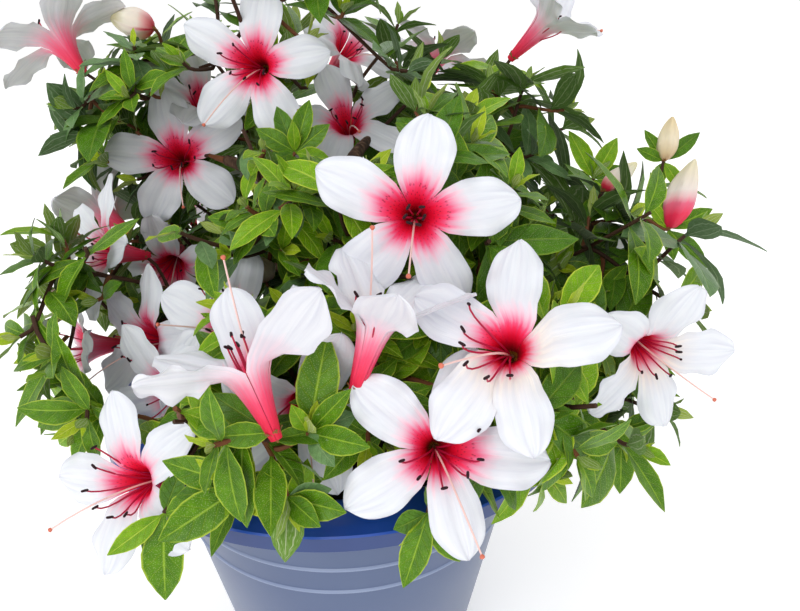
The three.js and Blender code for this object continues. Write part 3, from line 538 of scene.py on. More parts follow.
# The blooms that stand out at the front: throat, facing, turn of the top petal and opening, then the
# stain from the top petal round, where the stamens lean (degrees from the top, clockwise) and how far,
# the same for the style, and how much of the bloom no leaf grows in front of. Some are moved a little
# (mm) from where the solids hold them, or faced another way. The five petals of the loose ones are each
# turned round the axis, opened and tilted about their own length (degrees)
usual = ("strong", "middling", "faint", "faint", "middling")
even = ("strong", "strong", "middling", "middling", "strong")
sided = ("strong", "strong", "faint", "middling", "middling")
pale = ("faint", "pale", "pale", "pale", "middling")
anyLean = (180, 0.5, 0.6)
blooms = [
    {"at": (28, -61, 94), "face": (-92, 18), "turn": 8, "open": 88, "stain": even,
     "lean": (185, 0.12, 0.5), "clear": 1.0, "moved": (0.8, -1.9, -4.4)},
    {"at": (51, -94, 63), "face": (-105, 35), "turn": 12, "open": 90, "stain": pale,
     "lean": (235, 0.9, 0.5), "clear": 1.0, "moved": (2.2, -0.2, -1.8), "loose": [
        (-13, 8, 0), (-13, 0, 0), (3, 0, 0), (-14, 0, 0), (-8, 0, 0)]},
    {"at": (34, -98, 31), "face": (-88, 30), "turn": 24, "open": 88, "stain": sided,
     "lean": (160, 0.7, 0.9), "clear": 1.0},
    {"at": (20, -86, 62), "face": (20, 70), "turn": 0, "open": 46, "stain": pale, "lean": (40, 0.4, 0.3),
     "clear": 0.9, "moved": (-4.3, -0.6, -1.5)},
    {"at": (-17, -99, 55), "face": (130, 60), "turn": 1, "open": 64,
     "stain": ("faint", "faint", "faint", "strong", "middling"), "lean": (310, 0.1, 0.2), "clear": 1.0,
     "moved": (0.5, -0.5, 0), "faced": (142, 62), "loose": [
        (-38, -12, 60), (44, 2, -42), (20, -8, 0), (14, -58, 0), (-12, -26, 0)], "leaves": [
        (150, 21, 0, 8.5, "deep"), (182, 16, 15, 7.5, "mid")]},
    {"at": (-33, 33, 125), "face": (-95, 10), "turn": 10, "open": 85, "stain": even,
     "lean": (220, 0.6, 0.9), "clear": 1.0, "moved": (1.9, -0.6, -1.5)},
    {"at": (-71, 49, 84), "face": (-85, 20), "turn": -10, "open": 85, "stain": even,
     "lean": (170, 0.5, 0.7), "clear": 0.9},
    {"at": (0, 77, 100), "face": (-90, 45), "turn": -20, "open": 80, "stain": usual,
     "lean": (160, 0.5, 0.6), "clear": 0.8, "moved": (1.3, -2.9, -6.8)},
    {"at": (0, 105, 128), "face": (-40, 40), "turn": 0, "open": 70, "stain": usual, "lean": anyLean,
     "clear": 0.5, "moved": (-0.1, -2.7, -6.2)},
    {"at": (-64, 74, 102), "face": (-60, 60), "turn": 0, "open": 60, "stain": usual, "lean": anyLean,
     "clear": 0.6},
    {"at": (-75, -10, 25), "face": (-130, 20), "turn": 0, "open": 80, "stain": usual,
     "lean": (200, 0.5, 0.6), "clear": 0.9},
    {"at": (-64, -77, 10), "face": (-125, -5), "turn": -30, "open": 80, "stain": usual,
     "lean": (225, 0.8, 0.8), "clear": 0.9, "moved": (2.5, -1.1, -2.7), "faced": (-118, 26)},
    {"at": (116, -33, 21), "face": (-65, -5), "turn": 20, "open": 70, "stain": pale,
     "lean": (125, 0.5, 0.7), "clear": 1.0, "moved": (-8, -13, 15), "faced": (-75, -5)},
    {"at": (-80, 48, 35), "face": (-90, -10), "turn": 0, "open": 70, "stain": even, "lean": anyLean,
     "clear": 0.5},
    {"at": (-106, 4, 16), "face": (-150, 10), "turn": 0, "open": 80, "stain": even, "lean": anyLean,
     "clear": 0.5},
    {"at": (93, 87, 135), "face": (-20, 45), "turn": 0, "open": 48, "stain": pale, "lean": anyLean,
     "clear": 0.8, "moved": (-4.6, -1.8, -4.1)},
    {"at": (-6, -74, 33), "face": (-80, -5), "turn": 20, "open": 70, "stain": usual, "lean": anyLean,
     "clear": 0.0},
    {"at": (-94, 14, 54), "face": (-140, 20), "turn": 0, "open": 75, "stain": usual, "lean": anyLean,
     "clear": 0.3},
]
# Two more, behind those
lateBlooms = [
    {"at": (-62, -28, 12), "face": (-110, 5), "turn": 30, "open": 82, "stain": usual, "lean": anyLean},
    {"at": (-37, -30, 38), "face": (-95, 30), "turn": 10, "open": 84, "stain": usual,
     "lean": (270, 0.7, 0.6)},
]
# The buds that stand out at the front: foot, facing, length and width, the look of their petals, and
# the leaves beside some of them, as for the shoots
buds = [
    {"at": (-80, 70, 136), "face": (175, 15), "size": (20, 12), "look": "bud"},
    {"at": (146, 49, 48), "face": (44, 58), "size": (34, 12), "look": "striped", "leaves": [
        (101, 29, -10, 8.5, "mid"), (128, 17, 15, 6.5, "bright"), (24, 24, 0, 8.0, "mid"),
        (-45, 25, 10, 9.0, "deep"), (-85, 15, 20, 7.0, "mid"), (165, 14, 10, 6.5, "mid")]},
    {"at": (148, 71, 74), "face": (60, 65), "size": (21, 8.5), "look": "cream", "leaves": [
        (112, 19, -15, 6.5, "mid"), (38, 23, 0, 7.5, "deep"), (155, 14, 10, 6.5, "mid"),
        (-60, 17, 15, 7.0, "bright"), (-110, 14, 10, 7.0, "mid")]},
    {"at": (-28, 1, 46), "face": (-110, 60), "size": (12, 8), "look": "cream"},
]
# The leafy shoots that stand out at the front: tip, facing, and the leaves of the nearest ones, each
# with its direction as the picture has it (degrees from the right, anticlockwise), length, lean to the
# eye, width and tint
shoots = [
    {"at": (-22, -101, 30), "face": (-90, 40), "moved": (1, -2, -6), "leaves": [
        (98, 18, 25, 9.5, "mid"), (141, 17, 40, 5.5, "young"), (62, 12, 45, 4.8, "young"),
        (163, 24, 12, 9.5, "mid"), (212, 27, 25, 12.0, "mid"), (190, 20, 5, 9.0, "deep"),
        (-28, 15, 30, 7.5, "bright"), (120, 12, 5, 6.0, "deep"), (8, 14, 35, 8.5, "mid")]},
    {"at": (-4, -102, 22), "face": (-80, -50), "moved": (-5, -1, -2), "leaves": [
        (270, 18, 5, 10.2, "silky"), (296, 11, 35, 3.2, "young"), (282, 12, -30, 7.0, "deep"),
        (-12, 18, 20, 9.0, "mid"), (-34, 14, 35, 8.0, "mid"), (10, 13, 10, 6.5, "dusty"),
        (205, 12, 10, 6.5, "mid")]},
    {"at": (-49, -92, 6), "face": (-100, -40), "leaves": [
        (270, 27, 5, 14.0, "mid"), (216, 20, 20, 7.0, "bright"), (22, 17, 20, 8.5, "mid"),
        (240, 16, -10, 8.0, "deep"), (70, 14, 0, 8.0, "deep"), (-15, 13, 10, 7.0, "mid")]},
    {"at": (2, -93, 36), "face": (-80, 60), "moved": (-5, -0.5, -1), "leaves": [
        (79, 29, 8, 12.5, "mid"), (114, 12, 45, 5.5, "bright"), (46, 19, 25, 6.8, "mid"),
        (-9, 20, 30, 9.0, "mid"), (20, 15, 0, 7.5, "dusty"), (-48, 13, 30, 7.0, "dusty"),
        (188, 10, 30, 5.5, "mid"), (80, 9, 60, 2.8, "young")]},
    {"at": (31, -104, 14), "face": (-85, -60), "leaves": [
        (251, 22, 10, 9.0, "mid"), (302, 18, 0, 8.0, "mid"), (205, 11, 10, 7.0, "deep")]},
    {"at": (78, -8, 62), "face": (-70, 40), "leaves": [
        (200, 14, 10, 7.0, "deep"), (100, 15, 0, 7.0, "mid")]},
    {"at": (99, -16, 44), "face": (-50, 30), "leaves": [
        (12, 23, 15, 10.0, "deep"), (48, 15, 20, 7.0, "mid"), (-30, 18, 10, 8.0, "deep"),
        (-75, 16, 0, 8.0, "mid")]},
    {"at": (88, -54, 10), "face": (-60, -30), "leaves": [
        (-20, 17, 20, 7.0, "mid"), (-70, 19, 0, 8.0, "deep")]},
    {"at": (149, 40, 62), "face": (-20, 60), "moved": (-12, 0, -16)},
]
# More of them, with no twig of their own in the solids
lateShoots = [
    {"at": (76, -53, 20), "face": (-60, 0), "leaves": [
        (26, 20, 20, 8.0, "mid"), (-1, 17, 35, 6.0, "bright"), (-33, 22, 15, 8.5, "mid"),
        (-52, 28, 5, 10.0, "mid"), (62, 14, 0, 8.0, "deep"), (-84, 16, 20, 7.0, "deep")]},
    {"at": (106, -37, -2), "face": (-70, -60), "leaves": [
        (-88, 26, 0, 11.0, "mid"), (-58, 16, 30, 7.0, "bright"), (-120, 17, 0, 8.0, "deep"),
        (20, 14, 20, 7.0, "mid"), (165, 14, 20, 7.0, "mid")]},
    {"at": (86, 1, 49), "face": (-60, 30), "leaves": [
        (9, 31, 15, 10.0, "deep"), (127, 28, 20, 9.5, "deep"), (70, 13, 40, 5.5, "young"),
        (50, 9, 30, 4.0, "bright"), (-6, 15, 20, 6.0, "mid"), (-80, 17, 0, 9.0, "deep"),
        (168, 15, 10, 7.0, "dusty")]},
    {"at": (114, 64, 68), "face": (-90, 60), "leaves": [
        (120, 25, 20, 9.5, "bright"), (62, 21, 25, 9.0, "bright"), (20, 16, 10, 7.0, "mid"),
        (-38, 18, 10, 8.0, "mid"), (-80, 14, 20, 7.0, "bright"), (172, 18, 20, 6.0, "deep")]},
    {"at": (51, 60, 83), "face": (-90, 40), "leaves": [
        (12, 33, 10, 13.0, "deep"), (80, 20, 0, 9.0, "mid"), (200, 16, 0, 8.0, "deep"),
        (-40, 15, 20, 7.0, "mid")]},
    {"at": (0, -8, 77), "face": (-90, 50), "leaves": [
        (160, 17, 20, 8.5, "mid"), (205, 14, 10, 7.0, "deep"), (120, 15, 0, 8.0, "dusty"),
        (80, 14, 10, 7.0, "deep")]},
    {"at": (-15, 10, 94), "face": (-90, 50), "leaves": [
        (75, 21, 10, 8.5, "mid"), (112, 19, 10, 8.0, "deep"), (150, 17, 20, 8.0, "mid"),
        (38, 17, 10, 7.5, "mid"), (205, 15, 20, 7.0, "deep"), (-15, 15, 20, 7.0, "bright"),
        (90, 12, 40, 5.0, "bright")]},
    {"at": (-44, -60, 12), "face": (-90, 10), "leaves": [
        (300, 17, 0, 8.5, "mid"), (350, 16, 10, 8.0, "deep"), (250, 15, 0, 8.0, "deep")]},
    {"at": (-46, -49, 21), "face": (-100, 30), "leaves": [
        (150, 17, 20, 8.0, "mid"), (90, 16, 10, 8.0, "deep"), (210, 15, 20, 7.0, "deep"),
        (20, 15, 20, 7.0, "mid")]},
]


randomRule = {"times": 48271, "modulus": 2 ** 31 - 1, "dropped": 5}


def seeded(seed):
    # random numbers from 0 to 1 whose first few are dropped, as the solids have them
    state = seed
    for drawn in itertools.count():
        state = state * randomRule["times"] % randomRule["modulus"]
        if drawn >= randomRule["dropped"]:
            yield state / randomRule["modulus"]


def varied(value, spread, draw):
    # a measure times a random factor: at least the first number, and up to the second one more
    return value * (spread[0] + spread[1] * next(draw))


def facing(azimuth, elevation):
    a, e = radians(azimuth), radians(elevation)
    return Vector((cos(e) * cos(a), cos(e) * sin(a), sin(e)))


def above(place):
    return Vector((place[0], place[1], place[2] + lip))


def curveOf(points):
    lengths = [0.0]
    for a, b in zip(points, points[1:]):
        lengths.append(lengths[-1] + (b - a).length)
    return {"points": points, "lengths": lengths}


def pointOn(curve, share):
    goal = share * curve["lengths"][-1]
    i = min(max(bisect_right(curve["lengths"], goal), 1), len(curve["points"]) - 1)
    low, high = curve["lengths"][i - 1], curve["lengths"][i]
    return curve["points"][i - 1].lerp(curve["points"][i], (goal - low) / (high - low))


def roundedLine(corners, steps):
    # a smooth line through the corners, paced by the square root of their spacing
    ends = [2 * corners[0] - corners[1]] + corners + [2 * corners[-1] - corners[-2]]
    points = [corners[0]]
    for p0, p1, p2, p3 in zip(ends, ends[1:], ends[2:], ends[3:]):
        d0, d1, d2 = sqrt((p1 - p0).length), sqrt((p2 - p1).length), sqrt((p3 - p2).length)
        m1 = ((p1 - p0) / d0 - (p2 - p0) / (d0 + d1) + (p2 - p1) / d1) * d1
        m2 = ((p2 - p1) / d1 - (p3 - p1) / (d1 + d2) + (p3 - p2) / d2) * d1
        for k in range(1, steps + 1):
            t = k / steps
            second, third = 3 * (p2 - p1) - 2 * m1 - m2, 2 * (p1 - p2) + m1 + m2
            points.append(p1 + m1 * t + second * t ** 2 + third * t ** 3)
    return points


def alongLine(a, b, step=None):
    steps = max(1, ceil((a - b).length / (step or growth["sampleStep"])))
    return [a.lerp(b, i / steps) for i in range(steps + 1)]


def shareIn(mass, point):
    middle = above(mass["at"])
    return hypot(*((point[i] - middle[i]) / mass["half"][i] for i in range(3)))


def trunkRadius(share, angle):
    flare = max(0, 1 - share / growth["flareLength"]) ** 2
    lobes = 1 + growth["lobeDepth"] * flare * cos(growth["flareLobes"] * angle)
    plainRadius = growth["trunkFoot"] + (growth["trunkTip"] - growth["trunkFoot"]) * share
    return (plainRadius + (growth["flareRadius"] - growth["trunkFoot"]) * flare) * lobes


def growLimbs():
    corners = [Vector((x, y, soilTop + z)) for x, y, z in trunkLine]
    limbs = {"trunk": {"curve": curveOf(roundedLine(corners, growth["trunkSteps"])), "radiusAt": trunkRadius}}
    for name, parent, share, footRadius, bow in boughs:
        mass = next(each for each in masses if each["name"] == name)
        foot = pointOn(limbs[parent]["curve"], share)
        middle = above(mass["at"])
        entry = min(growth["boughEntry"] / shareIn(mass, foot), 1 - growth["boughLeast"])
        end = middle.lerp(foot, entry)
        bend = foot.lerp(end, 0.5) + up * bow
        steps = [k / growth["boughSteps"] for k in range(growth["boughSteps"] + 1)]
        line = [foot * (1 - t) ** 2 + bend * 2 * t * (1 - t) + end * t ** 2 for t in steps]

        def radiusAt(along, angle, thick=footRadius):
            return thick + (growth["boughTip"] - thick) * along ** growth["boughTaper"]

        limbs[name] = {"curve": curveOf(line), "radiusAt": radiusAt}
    for limb in limbs.values():
        total = limb["curve"]["lengths"][-1]
        count = ceil(total / growth["sampleStep"])
        shares = [k / count for k in range(count + 1)]
        limb["axis"] = [(pointOn(limb["curve"], share), limb["radiusAt"](share, 0)) for share in shares]
    return limbs


limbs = growLimbs()

# Claimed space: sample points in a grid of cubes, each with the piece that owns it
cube = 5
claimed = {}


def claim(points, owner, kind, item):
    for p in points:
        key = (floor(p[0] / cube), floor(p[1] / cube), floor(p[2] / cube))
        claimed.setdefault(key, []).append((p[0], p[1], p[2], owner, kind, item))


def release(tip):
    # give back the space of a bloom that hasn't opened
    for cell, points in claimed.items():
        claimed[cell] = [p for p in points if p[5] is not tip or p[4] != "petal"]


def blocked(points, mass, own, rule):
    # whether any point comes too near to other foliage
    rooms = rule["ownRoom"]
    for x, y, z in points:
        i, j, k = floor(x / cube), floor(y / cube), floor(z / cube)
        for a in (i - 1, i, i + 1):
            for b in (j - 1, j, j + 1):
                for c in (k - 1, k, k + 1):
                    for px, py, pz, owner, kind, item in claimed.get((a, b, c), ()):
                        room = rule["neighbourRoom"]
                        if owner == mass["name"]:
                            room = 0 if item is own else rooms[kind]
                        if (px - x) ** 2 + (py - y) ** 2 + (pz - z) ** 2 < room * room:
                            return True
    return False


def hitsPot(points):
    room = growth["potRoom"]
    return any(p[2] < lip + room and hypot(p[0], p[1]) < rimRadius + room for p in points)


def hitsLimb(points, radius):
    for limb in limbs.values():
        for point, bark in limb["axis"]:
            if any((p - point).length < bark + radius + growth["limbRoom"] for p in points):
                return True
    return False


def blockedFor(mass, samples, radius, own, rule):
    free = [p for p in samples if (p - samples[0]).length > growth["springRoom"]]
    return hitsPot(samples) or hitsLimb(samples, radius) or blocked(free, mass, own, rule)


# Small cubes in which the leaves look for room: near a petal, in a limb, or with a leaf or twig in them
fine = 1.5
petalSpace, limbSpace, leafSpace = set(), set(), {}


def cellsOf(points):
    return set(map(tuple, np.floor(np.asarray(points).reshape(-1, 3) / fine).astype(int).tolist()))


def swollen(cells):
    # these cubes and all that touch them
    steps = (-1, 0, 1)
    return {(x + a, y + b, z + c) for x, y, z in cells for a in steps for b in steps for c in steps}


def fillLimbSpace():
    for limb in limbs.values():
        for point, bark in limb["axis"]:
            count = ceil((bark + 1) / fine)
            steps = np.arange(-count, count + 1) * fine
            ball = np.stack(np.meshgrid(steps, steps, steps), -1).reshape(-1, 3)
            inside = ball[np.sqrt((ball ** 2).sum(1)) <= bark + 1]
            limbSpace.update(cellsOf(inside + np.array(point)))


def takeSpace(points, item):
    for cell in cellsOf(points):
        leafSpace.setdefault(cell, id(item))


# What the picture shows in full: nothing grows in front of these blooms
sightCell = 9  # pixels
sight = {}


def keepInSight(points):
    for x, y, depth in inPicture(points):
        cell = (floor(x / sightCell), floor(y / sightCell))
        sight[cell] = max(sight.get(cell, 0), depth)


def hides(points):
    # how many of the points stand in front of such a bloom
    count = 0
    for x, y, depth in inPicture(np.reshape(points, (-1, 3))):
        count += sight.get((floor(x / sightCell), floor(y / sightCell)), 0) > depth + 2
    return count


# Petals: five white ones with ruffled edges on a funnel, each with its fifth of the funnel
petal = {
    "lengths": (0.95, 0.12), "halves": (0.92, 0.16), "recurves": (0.2, 1.4),
    "enter": 0.6, "waist": (3.0, -9.0), "bell": 5.0, "pace": 1.8, "past": 3, "turnsBy": 0.35,
    "creaseWide": 0.14, "ribAt": 0.42, "ribWide": 0.16,
    "length": 23.5, "half": 8.5, "thickness": 0.4, "recurve": 16, "ruffle": 0.9, "crease": 0.75,
    "fineRows": (8, 16), "plainRows": (6, 10), "fineColumns": 13, "plainColumns": 9,
    "funnelFoot": 1.5, "notch": 8.0, "uneven": 0.05, "foot": 0.66, "widest": 0.52, "lap": 6,
    "even": ((0, 0, 0),) * 5,
}


def smooth(x):
    x = np.clip(x, 0, 1)
    return x * x * (3 - 2 * x)


def petalLine(opened, lift, rows, draw):
    # A petal's middle line, up the funnel and out to the tip, as distances from the axis and along it, with
    # its angles from the axis and the share of the blade that each point has behind it
    tubeRows, bladeRows = rows
    enter = petal["enter"] * opened
    corner = np.array([petal["notch"] * sin(opened), petal["notch"] * cos(opened)])
    stops = np.array([[petal["funnelFoot"], -growth["tubeLength"]], petal["waist"],
                      corner - petal["bell"] * np.array([sin(enter), cos(enter)]), corner])
    t = np.linspace(0, 1, tubeRows)[:, None]
    funnel = (stops[0] * (1 - t) ** 3 + 3 * stops[1] * t * (1 - t) ** 2 + 3 * stops[2] * t ** 2 * (1 - t)
              + stops[3] * t ** 3)
    slope = np.gradient(funnel, axis=0)
    angles = list(np.arctan2(slope[:, 0], slope[:, 1]))
    shares = 1 - (1 - np.linspace(0, 1, bladeRows + 1)[1:]) ** petal["pace"]
    length = varied(petal["length"], petal["lengths"], draw)
    recurve = radians(varied(petal["recurve"], petal["recurves"], draw))
    line = [tuple(row) for row in funnel]
    previous = 0.0
    for share in shares:
        turned = (opened + lift + radians(petal["past"]) - enter) * smooth(share / petal["turnsBy"])
        angle = enter + turned + recurve * share ** 2
        step = (share - previous) * length
        line.append((line[-1][0] + step * sin(angle), line[-1][1] + step * cos(angle)))
        angles.append(angle)
        previous = share
    return np.array(line), np.array(angles), np.concatenate([np.zeros(tubeRows), shares])[:, None]


def petalRelief(u, share, draw):
    # the blade's half width along it, and its relief: a wavy edge, a crease along the middle, two ribs, a cup
    swell = petal["foot"] + (1 - petal["foot"]) * np.sin(pi / 2 * np.clip(share / petal["widest"], 0, 1))
    beyond = np.clip((share - petal["widest"]) / (1 - petal["widest"]), 0, 1)
    tip = np.maximum((1 - beyond ** 2) ** 0.58, 0.08)
    half = varied(petal["half"], petal["halves"], draw) * swell * tip
    phase, waves = 2 * pi * next(draw), 1.6 + next(draw)
    half = half * (1 + petal["uneven"] * share * np.sin(11 * share + phase + 1.7 * np.sign(u)))
    wave = np.sin(2 * pi * waves * share + phase + 1.3 * np.sign(u))
    ruffle = petal["ruffle"] * (0.5 + next(draw)) * np.abs(u) ** 3 * wave
    groove = -petal["crease"] * np.exp(-(u / petal["creaseWide"]) ** 2)
    ribs = 0.6 * petal["crease"] * np.exp(-((np.abs(u) - petal["ribAt"]) / petal["ribWide"]) ** 2)
    cup = (0.12 - 0.4 * next(draw)) * half * u ** 2
    return half, (ruffle + (groove + ribs) * (1 - 0.5 * share) + cup) * smooth(share / 0.25)


def petalGrid(bloom, number, draw, detailed):
    # the skin of one petal: places at the middle of its thickness, normals, and shares along and across
    rows = petal["fineRows"] if detailed else petal["plainRows"]
    columns = petal["fineColumns"] if detailed else petal["plainColumns"]
    opened = radians(bloom["open"] + 7 * (next(draw) - 0.5))
    swing, lift, roll = (radians(x) for x in bloom.get("loose", petal["even"])[number])
    line, angles, share = petalLine(opened, lift, rows, draw)
    run = np.concatenate([[0], np.cumsum(np.hypot(*np.diff(line, axis=0).T))])
    u = np.linspace(-1, 1, columns)[None, :]
    turn = radians(bloom["turn"] + 360 / growth["petalCount"] * number + 4 * (next(draw) - 0.5))
    across, top = (np.array(x) for x in squareTo(bloom["axis"]))
    axis = np.array(bloom["axis"])
    out = across * sin(turn) + top * cos(turn)
    aside = across * cos(turn) - top * sin(turn)
    # rolled: this far round the funnel
    fifth = pi / growth["petalCount"]
    round_ = np.cos(u * fifth)[..., None] * out + np.sin(u * fifth)[..., None] * aside
    rolled = axis * line[:, 1][:, None, None] + line[:, 0][:, None, None] * round_
    turn += swing
    out = across * sin(turn) + top * cos(turn)
    aside = across * cos(turn) - top * sin(turn)
    # flat: a blade across its own middle line
    half, relief = petalRelief(u, share, draw)
    normal = -np.cos(angles)[:, None] * out + np.sin(angles)[:, None] * axis
    ahead = np.sin(angles)[:, None] * out + np.cos(angles)[:, None] * axis
    lap = radians(petal["lap"]) + roll  # each petal lies over the next one's edge
    rounding = 0.25 * np.exp(-(u / 0.3) ** 2) * share ** 12
    flat = (line[:, 0][:, None, None] * out + line[:, 1][:, None, None] * axis
            + (u * half * cos(lap))[..., None] * aside
            + (relief + u * half * sin(lap))[..., None] * normal[:, None, :]
            + rounding[..., None] * ahead[:, None, :])
    blend = smooth(share / 0.24)[..., None]
    places = np.array(bloom["throat"]) + rolled * (1 - blend) + flat * blend
    sides = -np.cos(angles)[:, None, None] * round_ + np.sin(angles)[:, None, None] * axis
    normals = sides * (1 - blend) + normal[:, None, :] * blend
    return places, normals, run / run[-1], (u[0] + 1) / 2


def shapeBloom(bloom, seed):
    draw = seeded(seed)
    bloom["draw"] = draw
    bloom["petals"] = [petalGrid(bloom, i, draw, "clear" in bloom) for i in range(growth["petalCount"])]


def bloomPoint(bloom, reach, turn, depth):
    a, opened = radians(bloom["turn"] + turn), radians(bloom["open"])
    across, top = squareTo(bloom["axis"])
    out = across * sin(a) + top * cos(a)
    return bloom["throat"] + out * reach * sin(opened) + bloom["axis"] * (reach * cos(opened) + depth)


def bloomSamples(bloom):
    base = bloom["throat"] - bloom["axis"] * growth["tubeLength"]
    samples = alongLine(base, bloom["throat"])
    step = 360 / growth["petalCount"]
    for i in range(growth["petalCount"]):
        for reach in range(growth["petalFrom"], growth["bloomRadius"] + 1, growth["sampleStep"]):
            spread = min(growth["petalSpread"], growth["petalHalf"] / reach * 180 / pi)
            samples += [bloomPoint(bloom, reach, step * i + side * spread, 0) for side in (-1, 0, 1)]
    return samples


def nearestMass(point):
    return min(masses, key=lambda mass: shareIn(mass, point))


def bloomTips(mass, given):
    tips = []
    for bloom in given:
        throat, axis = above(bloom["at"]), facing(*bloom["face"])
        if nearestMass(throat) is mass:
            tips.append({"at": throat - axis * growth["tubeLength"], "way": axis, "placed": True,
                         "leaves": bloom.get("leaves"), "moved": bloom.get("moved"),
                         "faced": bloom.get("faced"),
                         "bloom": {"clear": 0, **bloom, "throat": throat, "axis": axis}})
    return tips


def shootTips(mass, given):
    near = [shoot for shoot in given if nearestMass(above(shoot["at"])) is mass]
    return [{"at": above(shoot["at"]), "way": facing(*shoot["face"]), "placed": True,
             "leaves": shoot.get("leaves"), "moved": shoot.get("moved")} for shoot in near]


def placedTips(mass):
    return bloomTips(mass, blooms) + shootTips(mass, shoots)


def lateTips(mass):
    # the placed buds, and the blooms and shoots that come after the solids' own
    tips = [{"at": above(bud["at"]), "way": facing(*bud["face"]), "bud": bud["size"], "look": bud["look"],
             "placed": True, "leaves": bud.get("leaves")}
            for bud in buds if nearestMass(above(bud["at"])) is mass]
    return tips + bloomTips(mass, lateBlooms) + shootTips(mass, lateShoots)


def moveTip(tip):
    # a placed bloom or shoot takes the place and facing that it has grown to, and its twig follows
    shift = Vector(tip.get("moved") or (0, 0, 0))
    if "bloom" in tip:
        bloom = tip["bloom"]
        bloom["throat"] = bloom["throat"] + shift
        bloom["axis"] = facing(*tip["faced"]) if tip["faced"] else bloom["axis"]
        tip["way"] = bloom["axis"]
        tip["at"] = bloom["throat"] - bloom["axis"] * growth["tubeLength"]
    else:
        tip["at"] = tip["at"] + shift
    if "twig" in tip:
        tip["twig"]["to"] = tip["at"] + tip["way"] * growth["tubeSink"] if "bloom" in tip else tip["at"]
        tip["twig"]["length"] = (tip["twig"]["to"] - tip["twig"]["from"]).length


def seededTips(mass, draw, taken, tips, wanted, rule):
    # seeded shoot tips in a shell of the mass, clear of the others and of the placed blooms
    middle = above(mass["at"])
    tries = 0
    while tries < rule["tipTries"] and len(tips) < wanted:
        tries += 1
        height = 2 * next(draw) - 1
        angle = 2 * pi * next(draw)
        share = rule["shell"][0] + (rule["shell"][1] - rule["shell"][0]) * next(draw)
        level = sqrt(1 - height * height)
        out = Vector((level * cos(angle), level * sin(angle), height))
        at = middle + Vector([out[i] * mass["half"][i] * share for i in range(3)])
        if nearestMass(at) is not mass or hitsPot([at]):
            continue
        if any((tip["at"] - at).length < rule["tipSpacing"] for tip in taken + tips):
            continue
        if any((above(bloom["at"]) - at).length < rule["tipSpacing"] for bloom in blooms):
            continue
        way = (at - crownHeart).normalized() + up * growth["tipLift"]
        way += Vector((next(draw) - 0.5, next(draw) - 0.5, next(draw) - 0.5)) * growth["tipStray"]
        tips.append({"at": at, "way": way.normalized(), "draw": next(draw)})
    return tips


def seedBloom(mass, tip, share, rule):
    if "bloom" in tip or "draw" not in tip or tip["draw"] > share:
        return
    at = tip["at"] - tip["way"] * growth["bloomSetBack"]
    opened = growth["openLeast"] + growth["openMore"] * tip["draw"]
    bloom = {"throat": at + tip["way"] * growth["tubeLength"], "axis": tip["way"],
             "turn": 360 * tip["draw"], "open": opened, "stain": usual, "lean": anyLean}
    samples = bloomSamples(bloom)
    if blockedFor(mass, samples, 0, tip, rule) or (rule is fineRule and hides(samples)):
        return
    tip["at"] = at
    tip["bloom"] = bloom
    claim(samples, mass["name"], "petal", tip)


def springsOf(twig):
    # the places along a twig from which a new one can spring
    line = alongLine(twig["from"], twig["to"])
    direction = (twig["to"] - twig["from"]).normalized()
    first = len(line) - 1 if twig.get("stem") else ceil(growth["springFrom"] * len(line))
    last = len(line) if twig.get("stem") else max(first + 1, floor(growth["springTo"] * len(line)))
    springs = []
    for point in line[first:last]:
        along = (point - twig["from"]).length
        radius = twig["foot"] + (growth["twigTip"] - twig["foot"]) * along / twig["length"]
        springs.append((point, direction, twig["path"] + along, radius, twig))
    return springs


def clearWay(mass, line, tip, rule):
    if blockedFor(mass, line, growth["twigTip"], tip, rule):
        return False
    return rule is growth or not (hides(line) > 1 or cellsOf(line[2:-2] or line[:1]) & petalSpace)


def branch(mass, tips, rule, neighbours=()):
    # each tip, the furthest first, is reached from the best spring that has a clear way forward to it
    stem = mass["twigs"][0]
    order = sorted(tips, key=lambda tip: -(tip["at"] - stem["to"]).length)
    for tip in order * growth["twigPasses"]:
        if tip.get("reached"):
            continue
        end = tip["at"] + tip["way"] * growth["tubeSink"] if "bloom" in tip else tip["at"]
        choices = []
        for spring in mass["springs"] + [spring for other in neighbours for spring in other["springs"]]:
            point, direction, path = spring[:3]
            span = (point - end).length
            if span > growth["twigLeast"] and direction.angle(end - point) < radians(growth["twigTurn"]):
                choices.append((span + growth["pathWeight"] * path, span, *spring))
        choices.sort(key=lambda choice: choice[0])
        for _, span, point, direction, path, radius, parent in choices:
            if not clearWay(mass, alongLine(point, end), tip, rule):
                continue
            foot = min(growth["twigTip"] + growth["twigSwell"] * span,
                       max(growth["twigThinner"] * radius, growth["twigTip"]))
            each = {"from": point, "to": end, "foot": foot, "length": span, "path": path,
                    "parentWay": direction, "tip": tip, "parent": parent}
            mass["twigs"].append(each)
            mass["springs"] += springsOf(each)
            claim(alongLine(point, end), mass["name"], "twig", tip)
            tip["reached"] = True
            tip["twig"] = each
            break


budSize = {"length": 22, "width": 8.5, "least": 0.7, "more": 0.4, "reach": 20, "half": 4}


def settle(mass, tip):
    # a seeded bloom of the solids that is still a bud or a leafy tip, or would hide one of the picture's
    if tip.get("placed") or "bloom" not in tip:
        return
    stage = mass.get("stage")
    if stage is None and hides(bloomSamples(tip["bloom"])) > 3:
        stage = "leafy"
    if stage:
        del tip["bloom"]
        release(tip)
        if stage == "bud" and not hides([tip["at"], tip["at"] + tip["way"] * budSize["reach"]]):
            scale = budSize["least"] + budSize["more"] * tip["draw"]
            tip["bud"] = (budSize["length"] * scale, budSize["width"] * scale)


def inFront(each):
    line = alongLine(each["from"], each["to"])
    return hides(line[2:max(3, len(line) - 6)] if "bloom" in each["tip"] else line[2:]) > 1


